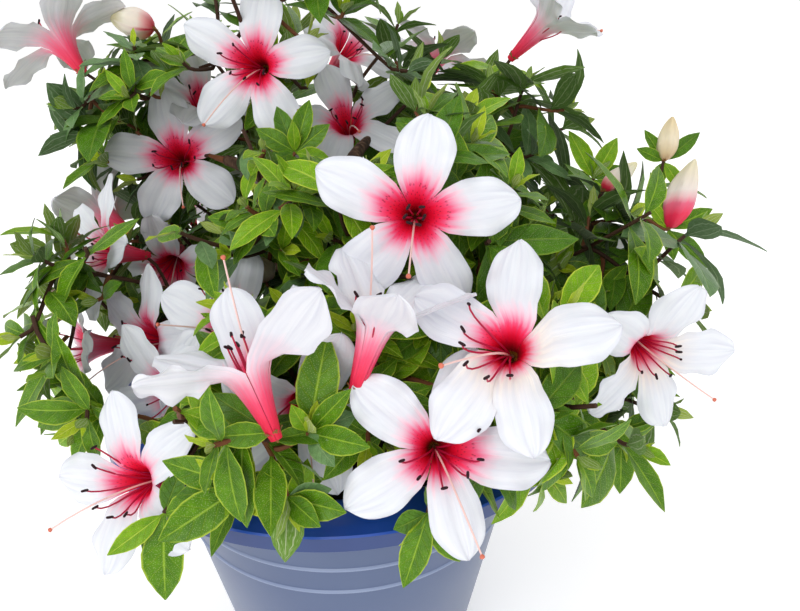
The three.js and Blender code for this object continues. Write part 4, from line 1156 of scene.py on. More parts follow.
def prune(mass):
    # Twigs of the solids that would stand in front of such a bloom go, with all that springs from them,
    # and their tips are reached by another way. Where that would lose a bloom, the twigs to it stay
    before = dict(claimed)
    twigs = mass["twigs"]
    reached = [(tip, tip.get("reached"), tip.get("twig")) for tip in mass["tipList"]]
    kept = []
    while True:
        gone = []
        for each in twigs[1:]:
            parentGone = any(each["parent"] is other for other in gone)
            if parentGone or (inFront(each) and not any(each is other for other in kept)):
                gone.append(each)
                each["tip"]["reached"] = False
        mass["twigs"] = [each for each in twigs if not any(each is other for other in gone)]
        mass["springs"] = [spring for each in mass["twigs"] for spring in springsOf(each)]
        for cell, points in before.items():
            claimed[cell] = [point for point in points if point[4] != "twig"
                             or not any(point[5] is each["tip"] for each in gone)]
        loose = [each["tip"] for each in gone]
        loose = [tip for tip in loose if tip.get("placed") or not hides([tip["at"]])]
        branch(mass, loose, fineRule)
        lost = [tip for tip in mass["tipList"] if tip.get("placed") and not tip.get("reached")]
        branch(mass, lost, fineRule, masses)
        lost = [tip for tip in lost if not tip.get("reached")]
        for tip, wasReached, twig in reached:
            if lost:
                tip.update(reached=wasReached, twig=twig)
        for tip in lost:
            each = tip["twig"]
            while not each.get("stem"):
                kept.append(each)
                each = each["parent"]
        if not lost:
            return


def findTips():
    # the shoot tips of each mass: the placed ones, then seeded ones, some of which carry a bloom
    taken = []
    for mass in masses:
        mass["draw"] = seeded(mass["seed"])
        placed = placedTips(mass)
        wanted = len(placed) + mass["tips"]
        mass["tipList"] = seededTips(mass, mass["draw"], taken, placed, wanted, growth)
        taken += mass["tipList"]
        for tip in mass["tipList"]:
            if "bloom" in tip:
                claim(bloomSamples(tip["bloom"]), mass["name"], "petal", tip)
    for mass in masses:
        for tip in mass["tipList"]:
            seedBloom(mass, tip, growth["bloomShare"], growth)
    return taken


def growStem(mass):
    # the stem of a mass from its bough's end, and the twigs of the solids from that
    curve = limbs[mass["name"]]["curve"]
    direction = (curve["points"][-1] - curve["points"][-2]).normalized()
    foot = curve["points"][-1] + direction * growth["gap"]
    stem = {"from": foot, "to": foot + direction * growth["stemLength"], "foot": growth["boughTip"],
            "length": growth["stemLength"], "path": 0, "stem": True, "parentWay": direction}
    mass["twigs"] = [stem]
    mass["springs"] = springsOf(stem)
    branch(mass, mass["tipList"], growth)


def placeBlooms(seeds):
    # The blooms and buds of the picture take their places, and what has to stay in sight of them is kept
    for mass in masses:
        for tip in mass["tipList"]:
            if tip.get("placed"):
                moveTip(tip)
            if tip.get("placed") and "bloom" in tip:
                shapeBloom(tip["bloom"], next(seeds))
                for places, _, along, _ in tip["bloom"]["petals"]:
                    keepInSight(places[along <= tip["bloom"]["clear"]].reshape(-1, 3))
    aside = Vector(eyeTurn[:, 0]) * budSize["half"]
    for mass in masses:
        for tip in lateTips(mass):
            if "bud" in tip:
                line = alongLine(tip["at"], tip["at"] + tip["way"] * tip["bud"][0])
                keepInSight([point + aside * side for point in line for side in (-1, 0, 1)])


def findFineTips(taken):
    # the tips of the finer twigs
    for mass in masses:
        more = lateTips(mass)
        more = seededTips(mass, mass["draw"], taken, more, len(more) + mass["finer"], fineRule)
        taken += more
        for tip in more:
            seedBloom(mass, tip, finer["bloomShare"], fineRule)
        mass["fineTips"] = [tip for tip in more if tip.get("placed") or not hides([tip["at"]])]


def openBlooms(seeds):
    # the other blooms get their petals, and the leaves keep clear of all of them
    for mass in masses:
        for tip in mass["tipList"] + mass["fineTips"]:
            if "bloom" in tip:
                if "petals" not in tip["bloom"]:
                    shapeBloom(tip["bloom"], next(seeds))
                for places, *_ in tip["bloom"]["petals"]:
                    petalSpace.update(swollen(cellsOf(places)))


def growTwigs():
    taken = findTips()
    for mass in masses:
        growStem(mass)
    print("twigs of the solids:", sum(len(mass["twigs"]) for mass in masses))
    seeds = itertools.count(growth["firstSeed"], growth["seedStep"])
    placeBlooms(seeds)
    for mass in masses:
        for tip in mass["tipList"]:
            settle(mass, tip)
    findFineTips(taken)
    openBlooms(seeds)
    for mass in masses:
        prune(mass)
        branch(mass, mass["fineTips"], fineRule)
        branch(mass, [tip for tip in mass["fineTips"] if tip.get("placed")], fineRule, masses)
        mass["tipList"] = [tip for tip in mass["tipList"] + mass["fineTips"] if tip.get("reached")]
    print("twigs with the finer ones:", sum(len(mass["twigs"]) for mass in masses))


fineRule = {**growth, **finer}
fillLimbSpace()
growTwigs()


# Twigs: slim, brown and a little crooked, bent out of the way that their parent runs
twigForm = {
    "turnAtFoot": 0.45, "footPull": 0.8, "tipPull": 0.6, "crooks": 0.09, "past": 0.04,
    "rings": 8, "sides": 6, "footShare": 0.72, "tipRadius": 0.75, "crook": 0.5, "woody": 24,
}


def twigLine(each):
    # a curved line from the spring to the tip, which it meets in the shoot's own direction
    span = each["length"]
    startWay = each["parentWay"].lerp((each["to"] - each["from"]).normalized(), twigForm["turnAtFoot"])
    endWay = each["tip"]["way"] if "tip" in each else each["parentWay"]
    m0, m1 = startWay * span * twigForm["footPull"], endWay * span * twigForm["tipPull"]
    points = []
    for k in range(twigForm["rings"]):
        t = k / (twigForm["rings"] - 1)
        p = (each["from"] * (2 * t ** 3 - 3 * t ** 2 + 1) + m0 * (t ** 3 - 2 * t ** 2 + t)
             + each["to"] * (3 * t ** 2 - 2 * t ** 3) + m1 * (t ** 3 - t ** 2))
        points.append(p + noise.noise_vector(p * twigForm["crooks"]) * twigForm["crook"] * sin(pi * t))
    return points


def bendTwigs():
    for mass in masses:
        for each in mass["twigs"]:
            each["curve"] = curveOf(twigLine(each))
            takeSpace([pointOn(each["curve"], k / 20) for k in range(21)], each.get("tip", each))
            each["borne"] = 0
            each["sides"] = [other for m in masses for other in m["twigs"] if other.get("parent") is each]


def reachOf(each):
    # the share of a twig that is there: all of it where it bears something, else up to its last side twig
    if each.get("stem") or each["borne"]:
        return 1.0
    total = (each["to"] - each["from"]).length
    return max([(other["from"] - each["from"]).length / total + twigForm["past"] for other in each["sides"]
                if reachOf(other)], default=0)


def makeTwigs():
    batch = newBatch()
    rings = twigForm["rings"]
    for mass in masses:
        for each in mass["twigs"]:
            reach = min(1, reachOf(each))
            if not reach:
                continue
            line = [pointOn(each["curve"], reach * k / (rings - 1)) for k in range(rings)]
            foot = max(each["foot"] * twigForm["footShare"], twigForm["tipRadius"])
            radii = [foot + (twigForm["tipRadius"] - foot) * k / (rings - 1) for k in range(rings)]
            places, faces, maps = tube(line, radii, twigForm["sides"])
            addTo(batch, places, faces, 0 if each["length"] > twigForm["woody"] else 1, maps)
    looks = [plainSkin("azaleaTwigWood", "#4c3020", 0.75, 0.45, 900.0),
             plainSkin("azaleaTwigYoung", "#7c4a2a", 0.7, 0.4, 900.0)]
    return makePiece("twigs", batch, looks)


bendTwigs()


# Leaves: rosettes at the shoot tips, the lower ones longer and flatter, with young ones in the middle
leaf = {
    "aspects": (0.86, 0.28), "bends": (0.2, 1.4), "folds": (0.4, 1.2), "curl": 0.18, "twist": 0.5,
    "pictureBend": (8, 14),
    "stations": (0.0, 0.07, 0.16, 0.30, 0.45, 0.60, 0.75, 0.89, 1.0),
    "widths": (0.10, 0.13, 0.46, 0.84, 1.0, 0.97, 0.76, 0.38, 0.03),  # shares of the full width
    "columns": (-1.0, -0.5, 0.0, 0.5, 1.0), "thickness": 0.25,
    "length": 24, "aspect": 0.42, "fold": 14, "bend": 30, "step": 1.7, "turn": 137.5,
    "crowded": 2,
    "insideFrom": 0.6,  # of the way from a mass's middle to its edge
}
tintNames = list(leafTints)


def shapeLeaf(each):
    # a blade that bends along its length, folds along its midrib, twists a little and waves at its margin
    v = np.array(leaf["stations"])[:, None]
    share = np.array(leaf["widths"])[:, None]
    u = np.array(leaf["columns"])[None, :]
    d = each["direction"]
    s = d.cross(each["normal"]).normalized()
    d, n, s = (np.array(x) for x in (d, s.cross(d), s))
    bend, turn, fold = each["bend"], each["twist"] * v, each["fold"]
    half = each["length"] * each["aspect"] / 2 * share
    run = each["length"] * np.sin(bend * v) / bend
    drop = each["length"] * (1 - np.cos(bend * v)) / bend
    face = np.sin(bend * v)[..., None] * d + np.cos(bend * v)[..., None] * n
    side = np.cos(turn)[..., None] * s + np.sin(turn)[..., None] * face
    face = np.cos(turn)[..., None] * face - np.sin(turn)[..., None] * s
    rise = np.abs(u) * half * sin(fold) - u ** 2 * half * each["curl"]
    rise = rise + 0.3 * u ** 2 * np.sin(4 * pi * v + each["phase"]) * (share > 0.4)
    middle = np.array(each["at"]) + run[..., None] * d - drop[..., None] * n
    front = middle + (u * half * cos(fold))[..., None] * side + rise[..., None] * face
    each["front"] = front
    each["back"] = front[:, 2:3] - face * leaf["thickness"]
    return each


def leafSheets(leaves, batch):
    rows, columns = len(leaf["stations"]), len(leaf["columns"])
    faces, frontCount = sheetFaces(rows, columns, [0, 2, 4])
    across, along = np.meshgrid((np.array(leaf["columns"]) + 1) / 2, leaf["stations"])
    frontMap = np.stack([across, along], -1).reshape(-1, 2)
    backMap = np.stack([np.full(rows, 0.5), leaf["stations"]], -1)
    maps = np.concatenate([frontMap, backMap])
    isFront = np.arange(len(faces)) < frontCount
    for each in leaves:
        tint = 2 * tintNames.index(each["tint"])
        places = np.concatenate([each["front"].reshape(-1, 3), each["back"].reshape(-1, 3)])
        addTo(batch, places, faces, np.where(isFront, tint, tint + 1), maps)


def fits(each, tip):
    # whether a leaf keeps clear of limbs, pot, petals and the picture's blooms, and isn't crowded
    points = each["front"][2:, ::2].reshape(-1, 3)
    cells = cellsOf(points)
    if cells & petalSpace or cells & limbSpace or hitsPot(points) or hides(points) > 1:
        return False
    owners = [leafSpace.get(cell) for cell in cells]
    return sum(owner is not None and owner != id(tip) for owner in owners) <= leaf["crowded"]


def spun(direction, tilt, turn):
    across, top = squareTo(direction)
    out = across * cos(turn) + top * sin(turn)
    return direction * cos(tilt) + out * sin(tilt)


def newLeaf(at, direction, normal, length, tint, draw, bend=None):
    return shapeLeaf({
        "at": at, "direction": direction, "normal": normal, "length": length, "tint": tint,
        "aspect": varied(leaf["aspect"], leaf["aspects"], draw),
        "bend": radians(varied(leaf["bend"], leaf["bends"], draw)) if bend is None else bend,
        "fold": radians(varied(leaf["fold"], leaf["folds"], draw)), "curl": leaf["curl"] * next(draw),
        "twist": leaf["twist"] * (next(draw) - 0.5), "phase": 2 * pi * next(draw)})


# What share of the shoots has each tint, added up, in good light, in shade, far from the front and deep
# inside a mass: the tints are painted light and painted shade
tones = {
    "open": (("deep", 0.15), ("mid", 0.65), ("bright", 1.0)),
    "shade": (("dusty", 0.36), ("deep", 0.52), ("mid", 0.84), ("bright", 1.0)),
    "far": (("dusty", 0.34), ("deep", 0.44), ("mid", 0.74), ("bright", 1.0)),
    "inside": (("deep", 0.45), ("mid", 0.85), ("bright", 1.0)),
}


def tintOf(mass, at, draw):
    # darker tints deep inside each mass as painted shade, and by its tone outside
    roll = next(draw)
    tone = "inside" if shareIn(mass, at) < leaf["insideFrom"] else mass["tone"]
    return next(tint for tint, share in tones[tone] if roll < share)


def pictureLeaves(tip, draw):
    # the leaves of a placed shoot, laid out as the picture shows them
    right, high, near = (Vector(eyeTurn[:, i]) for i in range(3))
    leaves = []
    foot = tip["twig"]["curve"]["points"][-1]
    low, more = leaf["pictureBend"]
    for angle, length, lean, width, tint in tip["leaves"]:
        flat = right * cos(radians(angle)) + high * sin(radians(angle))
        direction = flat * cos(radians(lean)) + near * sin(radians(lean))
        normal = near - direction * near.dot(direction)
        silky = tint == "silky"
        normal = -normal if silky else normal
        each = newLeaf(foot, direction, normal, length, "mid" if silky else tint, draw)
        each.update(aspect=width / length, bend=radians(low + more * next(draw)), twist=each["twist"] / 2)
        leaves.append(shapeLeaf(each))
        takeSpace(leaves[-1]["front"][2:], tip)
    return leaves


# Rosettes: how many leaves, how far below the tip the first one stands and how they tilt, then young ones
rosetteForm = {
    "flowering": {"leaves": 4, "below": 3.5, "tilt": 74, "tiltStep": 0},
    "leafy": {"leaves": 6, "below": 1, "tilt": 40, "tiltStep": 9},
    "sizes": (0.8, 0.4), "lengths": (0.9, 0.2), "first": 0.72, "next": 0.09, "grownUp": 4,
    "lowest": 0.8, "raised": 0.35, "tries": 4, "triedTilt": 0.25, "triedTurn": 0.5,
    "young": {"leaves": 3, "tilt": 14, "tiltStep": 9, "turnStep": 2.1, "size": 0.3, "sizeStep": 0.12,
              "at": 0.995, "bend": 0.15, "bright": 0.6},
}


def youngLeaves(tip, way, start, draw):
    # small ones, upright in the middle of a leafy shoot
    form = rosetteForm["young"]
    leaves = []
    for i in range(form["leaves"]):
        direction = spun(way, radians(form["tilt"] + form["tiltStep"] * i), start + form["turnStep"] * i + 1)
        shade = "young" if next(draw) < form["bright"] else "bright"
        length = leaf["length"] * (form["size"] + form["sizeStep"] * i)
        at = pointOn(tip["twig"]["curve"], form["at"])
        each = newLeaf(at, direction, way, length, shade, draw, form["bend"])
        if fits(each, tip):
            leaves.append(each)
    return leaves


def rosette(mass, tip, draw):
    leaves = pictureLeaves(tip, draw) if tip.get("leaves") else []
    curve = tip["twig"]["curve"]
    total = curve["lengths"][-1]
    way = (curve["points"][-1] - curve["points"][-2]).normalized()
    tint = tintOf(mass, tip["at"], draw)
    flowering = "bloom" in tip or "bud" in tip
    form = rosetteForm["flowering" if flowering else "leafy"]
    count = form["leaves"] + (0 if flowering else floor(2 * next(draw)))
    count = 0 if leaves else count
    start = 2 * pi * next(draw)
    scale = varied(mass.get("leafSize", 1.0), rosetteForm["sizes"], draw)
    for i in range(count):
        down = min(form["below"] + leaf["step"] * i, rosetteForm["lowest"] * total)
        at = pointOn(curve, 1 - down / total)
        grown = rosetteForm["first"] + rosetteForm["next"] * min(i, rosetteForm["grownUp"])
        length = varied(leaf["length"] * scale * grown, rosetteForm["lengths"], draw)
        normal = (way + up * rosetteForm["raised"]).normalized()
        for retry in range(rosetteForm["tries"]):
            tilt = radians(form["tilt"] + form["tiltStep"] * i) + rosetteForm["triedTilt"] * retry
            direction = spun(way, tilt, start + radians(leaf["turn"]) * i + rosetteForm["triedTurn"] * retry)
            each = newLeaf(at, direction, normal, length, tint, draw)
            if fits(each, tip):
                leaves.append(each)
                takeSpace(each["front"][2:], tip)
                break
    if leaves and not flowering:
        leaves += youngLeaves(tip, way, start, draw)
    return leaves


lowerForm = {"from": 0.2, "along": 0.65, "tilt": 55, "tiltMore": 35, "sizes": (0.7, 0.4)}


def lowerLeaves(mass, each, draw):
    # older leaves down a long twig, which fill the inside of the crown
    leaves = []
    owner = each.get("tip", each)
    for i in range(floor(each["length"] / mass["lower"])):
        at = pointOn(each["curve"], lowerForm["from"] + lowerForm["along"] * next(draw))
        way = (each["to"] - each["from"]).normalized()
        tilt = radians(lowerForm["tilt"] + lowerForm["tiltMore"] * next(draw))
        direction = spun(way, tilt, 2 * pi * next(draw))
        normal = direction.cross(up.cross(direction)).normalized()
        length = varied(leaf["length"] * mass.get("leafSize", 1.0), lowerForm["sizes"], draw)
        leafed = newLeaf(at, direction, normal, length, tintOf(mass, at, draw), draw)
        if fits(leafed, owner):
            leaves.append(leafed)
            takeSpace(leafed["front"][2:], owner)
    return leaves


scaleForm = {"count": 5, "tilt": 24, "length": 5.0, "bend": 0.4, "aspect": 0.6}


def scales(base, axis, draw):
    # brown scales and small sepals round the foot of a bloom or bud
    leaves = []
    for i in range(scaleForm["count"]):
        direction = spun(axis, radians(scaleForm["tilt"]), 2 * pi * i / scaleForm["count"])
        normal = direction.cross(axis).cross(direction)
        each = newLeaf(base, direction, normal, scaleForm["length"], "scale", draw, scaleForm["bend"])
        each["aspect"] = scaleForm["aspect"]
        leaves.append(shapeLeaf(each))
    return leaves


def makeLeaves():
    leaves = {"front": [], "side": [], "back": []}
    for mass in masses:
        for tip in mass["tipList"]:
            grown = rosette(mass, tip, mass["draw"])
            tip["twig"]["borne"] = len(grown) + 9 * ("bloom" in tip or "bud" in tip)
            leaves[mass["part"]] += grown
            if "bloom" in tip:
                base = tip["bloom"]["throat"] - tip["bloom"]["axis"] * (growth["tubeLength"] + 1)
                leaves[mass["part"]] += scales(base, tip["bloom"]["axis"], mass["draw"])
            if "bud" in tip:
                leaves[mass["part"]] += scales(tip["at"] - tip["way"], tip["way"], mass["draw"])
    for mass in masses:
        for each in mass["twigs"]:
            leaves[mass["part"]] += lowerLeaves(mass, each, mass["draw"])
    looks = []
    for name, hexColours in leafTints.items():
        colours = dict(zip(tintParts, hexColours))
        looks.append(leafBlade("azaleaLeaf" + name.title(), colours, leafFinish))
        looks.append(leafUnderside("azaleaLeaf" + name.title() + "Under", colours, underFinish))
    for part, sheets in leaves.items():
        batch = newBatch()
        leafSheets(sheets, batch)
        nodes = ["foliage_" + mass["name"] for mass in masses if mass["part"] == part]
        makePiece("leaves_" + part, batch, looks, nodes)
    print("leaves:", sum(len(sheets) for sheets in leaves.values()))


makeLeaves()
makeTwigs()


# Blossom: the petals, crimson stamens with dark anthers, a long pale style, and buds
petalLooks = list(stains)
thread = {
    "radius": 0.32, "foot": 1.1, "taper": 0.03, "sides": 5, "rings": 9,
    "rootDepth": 13, "rootOut": 0.6, "throatOut": 0.8,
}
stamen = {
    "count": 6, "spread": 58, "gathered": 34, "stray": 10,  # degrees between them, fewer where they lean far
    "length": 24, "lengths": (0.72, 0.4), "bows": (0.75, 0.5), "apart": 1.5,
    "end": (0.55, 0.15, 0.55, 0.14), "bend": (0.28, 0.2, 0.6), "anther": 1.15, "antherTilt": 50,
    "antherAlong": (-1.0, -0.75, 0.0, 0.75, 1.0), "antherRadii": (0.2, 0.4, 0.46, 0.4, 0.2), "antherSides": 7,
}
style = {
    "length": 38, "end": (1.06, 0.87, 0.85), "bend": 0.3,
    "knobAlong": (-0.5, 0, 0.5, 0.8), "knobRadii": (0.3, 0.7, 0.75, 0.35), "knobSides": 8,
}
bud = {
    "foldDepth": 0.09, "folds": 5, "blunt": 0.8, "least": 0.5,
    "rings": 16, "sides": 20,
}


def petalSheets(bloom, batch):
    for number, (places, normals, along, across) in enumerate(bloom["petals"]):
        rows, columns = places.shape[:2]
        faces, frontCount = sheetFaces(rows, columns, list(range(columns)))
        front = places + normals * petal["thickness"] / 2
        back = (places - normals * petal["thickness"] / 2)[:, 1:-1]
        front[:, 0] = places[:, 0]
        front[:, -1] = places[:, -1]
        grid = np.stack(np.broadcast_arrays(across[None, :], along[:, None]), -1)
        maps = np.concatenate([grid.reshape(-1, 2), grid[:, 1:-1].reshape(-1, 2)])
        look = petalLooks.index(bloom["stain"][number])
        looks = np.where(np.arange(len(faces)) < frontCount, look, petalLooks.index("back"))
        addTo(batch, np.concatenate([front.reshape(-1, 3), back.reshape(-1, 3)]), faces, looks, maps)


def cubic(a, b, c, d, count):
    # a curve of four handles, as points
    steps = [k / (count - 1) for k in range(count)]
    return [a * (1 - t) ** 3 + b * 3 * t * (1 - t) ** 2 + c * 3 * t * t * (1 - t) + d * t ** 3
            for t in steps]


def addThread(bloom, batch, out, bend, end, look):
    # one thread from deep in the funnel, and the direction in which it ends
    foot = bloom["throat"] - bloom["axis"] * thread["rootDepth"] + out * thread["rootOut"]
    line = cubic(foot, bloom["throat"] + out * thread["throatOut"], bend, end, thread["rings"])
    radii = [thread["radius"] * (thread["foot"] - thread["taper"] * k) for k in range(thread["rings"])]
    places, faces, maps = tube(line, radii, thread["sides"])
    addTo(batch, places, faces, look, maps)
    return (line[-1] - line[-2]).normalized()


def addStamen(bloom, batch, number):
    axis, throat, draw = bloom["axis"], bloom["throat"], bloom["draw"]
    leanTurn, lean, _ = bloom["lean"]
    across, top = squareTo(axis)
    spread = (stamen["spread"] - stamen["gathered"] * lean) * (number - (stamen["count"] - 1) / 2)
    spread += stamen["stray"] * (next(draw) - 0.5)
    turn = radians(leanTurn + spread)
    out = across * sin(turn) + top * cos(turn)
    length = varied(stamen["length"], stamen["lengths"], draw)
    bow = varied(lean, stamen["bows"], draw)
    rise, fall, reach, lift = stamen["end"]
    end = throat + axis * length * (rise - fall * bow) + out * (length * reach * bow + stamen["apart"])
    end += top * length * lift * bow
    rise, fall, reach = stamen["bend"]
    bend = throat + axis * length * (rise - fall * bow) + out * (length * reach * bow + stamen["apart"])
    way = addThread(bloom, batch, out, bend, end, 0)
    along = spun(way, radians(stamen["antherTilt"]), 2 * pi * next(draw))
    body = [end + along * stamen["anther"] * k for k in stamen["antherAlong"]]
    places, faces, maps = tube(body, stamen["antherRadii"], stamen["antherSides"])
    addTo(batch, places, faces, 1, maps)


def addStyle(bloom, batch):
    axis, throat = bloom["axis"], bloom["throat"]
    leanTurn, _, bow = bloom["lean"]
    across, top = squareTo(axis)
    out = across * sin(radians(leanTurn)) + top * cos(radians(leanTurn))
    length = style["length"]
    rise, fall, reach = style["end"]
    end = throat + axis * length * (rise - fall * bow) + out * length * reach * bow
    bend = throat + axis * length * style["bend"] + out * length * style["bend"] * bow
    way = addThread(bloom, batch, out, bend, end, 2)
    knob = [end + way * k for k in style["knobAlong"]]
    places, faces, maps = tube(knob, style["knobRadii"], style["knobSides"])
    addTo(batch, places, faces, 3, maps)


def threads(bloom, batch):
    # the stamens lean out of the throat and curl up at their ends; the style is longer than any of them
    for number in range(stamen["count"]):
        addStamen(bloom, batch, number)
    addStyle(bloom, batch)


def budSheet(tip, batch):
    # a pointed bud of petals still rolled round each other
    def swell(share, angle, point):
        fold = 1 + bud["foldDepth"] * cos(bud["folds"] * angle + bud["folds"] * share)
        return (width / 2 * sin(pi * share ** bud["blunt"]) ** bud["blunt"] + bud["least"]) * fold

    length, width = tip["bud"]
    line = [tip["at"] + tip["way"] * length * k / (bud["rings"] - 1) for k in range(bud["rings"])]
    places, faces, maps = tube(line, [1.0] * len(line), bud["sides"], swell)
    addTo(batch, places, faces, petalLooks.index(tip.get("look", "bud")), maps)


def makeBlossom():
    batches = {"front": newBatch(), "back": newBatch()}
    fineParts = newBatch()
    for mass in masses:
        for tip in mass["tipList"]:
            part = "front" if tip.get("placed") else "back"
            if "bloom" in tip:
                petalSheets(tip["bloom"], batches[part])
                threads(tip["bloom"], fineParts)
            if "bud" in tip:
                budSheet(tip, batches[part])
    looks = [petalSkin("azaleaPetal" + name.title(), stain) for name, stain in stains.items()]
    for part, batch in batches.items():
        makePiece("blossom_" + part, batch, looks)
    threadLooks = [plainSkin("stamenFilament", "#b41440", 0.45),
                   plainSkin("stamenAnther", "#2c0c16", 0.8, 0.3, 2000.0),
                   plainSkin("stylePale", "#efc8c2", 0.45),
                   plainSkin("stigmaSalmon", "#d8745c", 0.4)]
    makePiece("stamens", fineParts, threadLooks)


makeBlossom()


# Trunk and boughs: one skin over all the limbs, with bark that runs along them in flaky ridges
bark = {
    "sides": 40, "ring": 1.6, "ridge": 0.07, "ridges": 11, "ridgeLength": 14, "finer": 2.3,
    "finerShare": 0.6, "voxel": 1.0, "flakes": 420.0, "stretch": (1.0, 1.0, 0.25),  # flakes for each metre
}
barkStops = [(0.3, "#26180f"), (0.45, "#3e2a1c"), (0.58, "#58402e"), (0.72, "#7c634c")]


def barkSkin():
    # Azalea bark: dull, in thin flakes drawn out along the stem, dark between them
    material, tree, shader = newMaterial("azaleaBark", {"Roughness": 0.85, "IOR": 1.45})
    spot = addNode(tree, "TexCoord")
    drawnOut = {0: spot.outputs["Object"], 1: bark["stretch"]}
    stretch = addNode(tree, "VectorMath", drawnOut, operation="MULTIPLY")
    flakes = addNode(tree, "TexNoise", {"Vector": stretch, "Scale": bark["flakes"], "Detail": 6.0})
    tone = addNode(tree, "ValToRGB", {0: flakes}, stops=barkStops)
    bump = addNode(tree, "Bump", {"Height": flakes, "Strength": 0.8, "Distance": 0.0006})
    setInputs(shader, {"Base Color": tone, "Normal": bump})
    return material


def makeBark():
    batch = newBatch()
    for limb in limbs.values():
        total = limb["curve"]["lengths"][-1]
        rings = max(12, ceil(total / bark["ring"]))
        points = [pointOn(limb["curve"], k / rings) for k in range(rings + 1)]
        radii = [1.0] * len(points)
        radiusAt = limb["radiusAt"]

        def wobble(share, angle, point, radiusAt=radiusAt):
            ridges = bark["ridges"] / 3
            cell = Vector((cos(angle) * ridges, sin(angle) * ridges, share * total / bark["ridgeLength"]))
            rough = noise.noise(cell) + bark["finerShare"] * noise.noise(cell * bark["finer"])
            return radiusAt(share, angle) * (1 + bark["ridge"] * rough)

        places, faces, maps = tube(points, radii, bark["sides"], wobble)
        addTo(batch, places, faces, 0, maps)
    nodes = ["trunk"] + ["bough_" + mass["name"] for mass in masses]
    piece = makePiece("bark", batch, [barkSkin()], nodes)
    skin = piece.modifiers.new("skin", "REMESH")
    skin.mode = "VOXEL"
    skin.voxel_size = bark["voxel"] * mm
    skin.use_smooth_shade = True
    bpy.context.view_layer.objects.active = piece
    bpy.ops.object.modifier_apply(modifier="skin")
    print("bark skinned to", len(piece.data.polygons), "faces")


makeBark()


# Pot: moulded polypropylene in one blue, coloured by facing: saturated navy on its sloping collar and greyer
# blue on its skirt and body as painted reflection, lighter on the raised rings as a painted highlight
pot = {
    "segments": 180, "mouthRadius": 80, "skirtTop": 2.2, "skirtFoot": 8,
    "bodyRadius": 78.3, "bodyTaper": 0.21,
    "wall": 2.5, "ringDepths": (37.4, 49.8), "ringHeight": 0.6, "collarEdge": 4, "collarFall": 1.4,
    "collarUnder": 4.4, "lipRound": 2.2, "lipFall": 1, "skirtWall": 1.9, "footChamfer": 1.5,
    "drainHoles": 6, "drainRadius": 4, "drainPlace": 28, "drainSides": 32,
}


def bodyAt(depth):
    return pot["bodyRadius"] - pot["bodyTaper"] * depth


def potProfile():
    # corners: radius, height, and the material of the stretch that starts there, which is 0 body,
    # 1 skirt, 2 collar or 3 raised ring: one blue with painted reflection by facing, and a painted highlight
    #                                     on the ring
    chamfer, under, foot, top = pot["footChamfer"], pot["collarUnder"], pot["skirtFoot"], pot["skirtTop"]
    outline = [(0, 0, 0), (bodyAt(lip) - chamfer, 0, 0), (bodyAt(lip), chamfer, 0)]
    for depth in reversed(pot["ringDepths"]):
        for k in range(-3, 4):
            down = depth - k * 0.33
            radius = bodyAt(down) + pot["ringHeight"] * cos(pi / 2 * k / 3)
            outline.append((radius, lip - down, 3 if k < 3 else 0))
    edge, mouth = rimRadius - pot["skirtWall"], pot["mouthRadius"]
    bend, fall = rimRadius - pot["collarEdge"], pot["collarFall"]
    inner, drop = mouth - pot["lipRound"], pot["lipFall"]
    outline += [
        (bodyAt(under), lip - under, 1), (edge, lip - under, 1), (edge, lip - foot + 0.3, 1),
        (edge + 0.4, lip - foot, 1), (rimRadius - 0.4, lip - foot, 1), (rimRadius, lip - foot + 0.4, 1),
        (rimRadius, lip - top - 0.4, 2), (rimRadius - 0.5, lip - top + 0.2, 2),
        (bend + 0.8, lip - fall - 0.25, 2), (bend, lip - fall, 2), (bend - 1.2, lip - fall + 0.15, 2),
        (mouth + 1.5, lip - 0.05, 2), (mouth, lip, 2), (mouth - 1.0, lip - 0.25, 2),
        (inner, lip - drop, 2), (inner - 0.7, lip - drop - 1.2, 2),
        (bodyAt(lip - pot["wall"]) - pot["wall"], pot["wall"], 2), (0, pot["wall"], 2),
    ]
    return outline


def mouldedPlastic(name, dark, light, roughness, haze):
    # polypropylene: smooth from the mould, with a hazy sheen and faint scuffs
    finish = {"IOR": 1.49, "Roughness": roughness, "Coat Weight": haze, "Coat Roughness": 0.28}
    material, tree, shader = newMaterial(name, finish)
    spot = addNode(tree, "TexCoord").outputs["Object"]
    cloud = addNode(tree, "TexNoise", {"Vector": spot, "Scale": 18.0, "Detail": 4.0})
    tone = addNode(tree, "MapRange", {0: cloud, 1: 0.3, 2: 0.7})
    base = addNode(tree, "Mix", {0: tone, 6: dark, 7: light}, data_type="RGBA")
    scuffs = addNode(tree, "TexNoise", {"Vector": spot, "Scale": 900.0, "Detail": 2.0})
    bump = addNode(tree, "Bump", {"Height": scuffs, "Strength": 0.1, "Distance": 0.0002})
    setInputs(shader, {"Base Color": base, "Normal": bump})
    return material


def potShell():
    # the profile turned round the pot's axis
    outline = potProfile()
    work = bmesh.new()
    rings = []
    for r, z, _ in outline:
        if r == 0:
            rings.append([work.verts.new((0, 0, z * mm))])
        else:
            angles = [2 * pi * k / pot["segments"] for k in range(pot["segments"])]
            rings.append([work.verts.new((r * cos(a) * mm, r * sin(a) * mm, z * mm)) for a in angles])
    for i, (low, high) in enumerate(zip(rings, rings[1:])):
        for k in range(pot["segments"]):
            after = (k + 1) % pot["segments"]
            corners = [low[k % len(low)], low[after % len(low)]]
            corners += [high[after % len(high)], high[k % len(high)]]
            face = work.faces.new(list(dict.fromkeys(corners)))
            face.material_index = outline[i][2]
            face.smooth = True
    bmesh.ops.recalc_face_normals(work, faces=work.faces)
    mesh = bpy.data.meshes.new("pot_body")
    work.to_mesh(mesh)
    work.free()
    return mesh


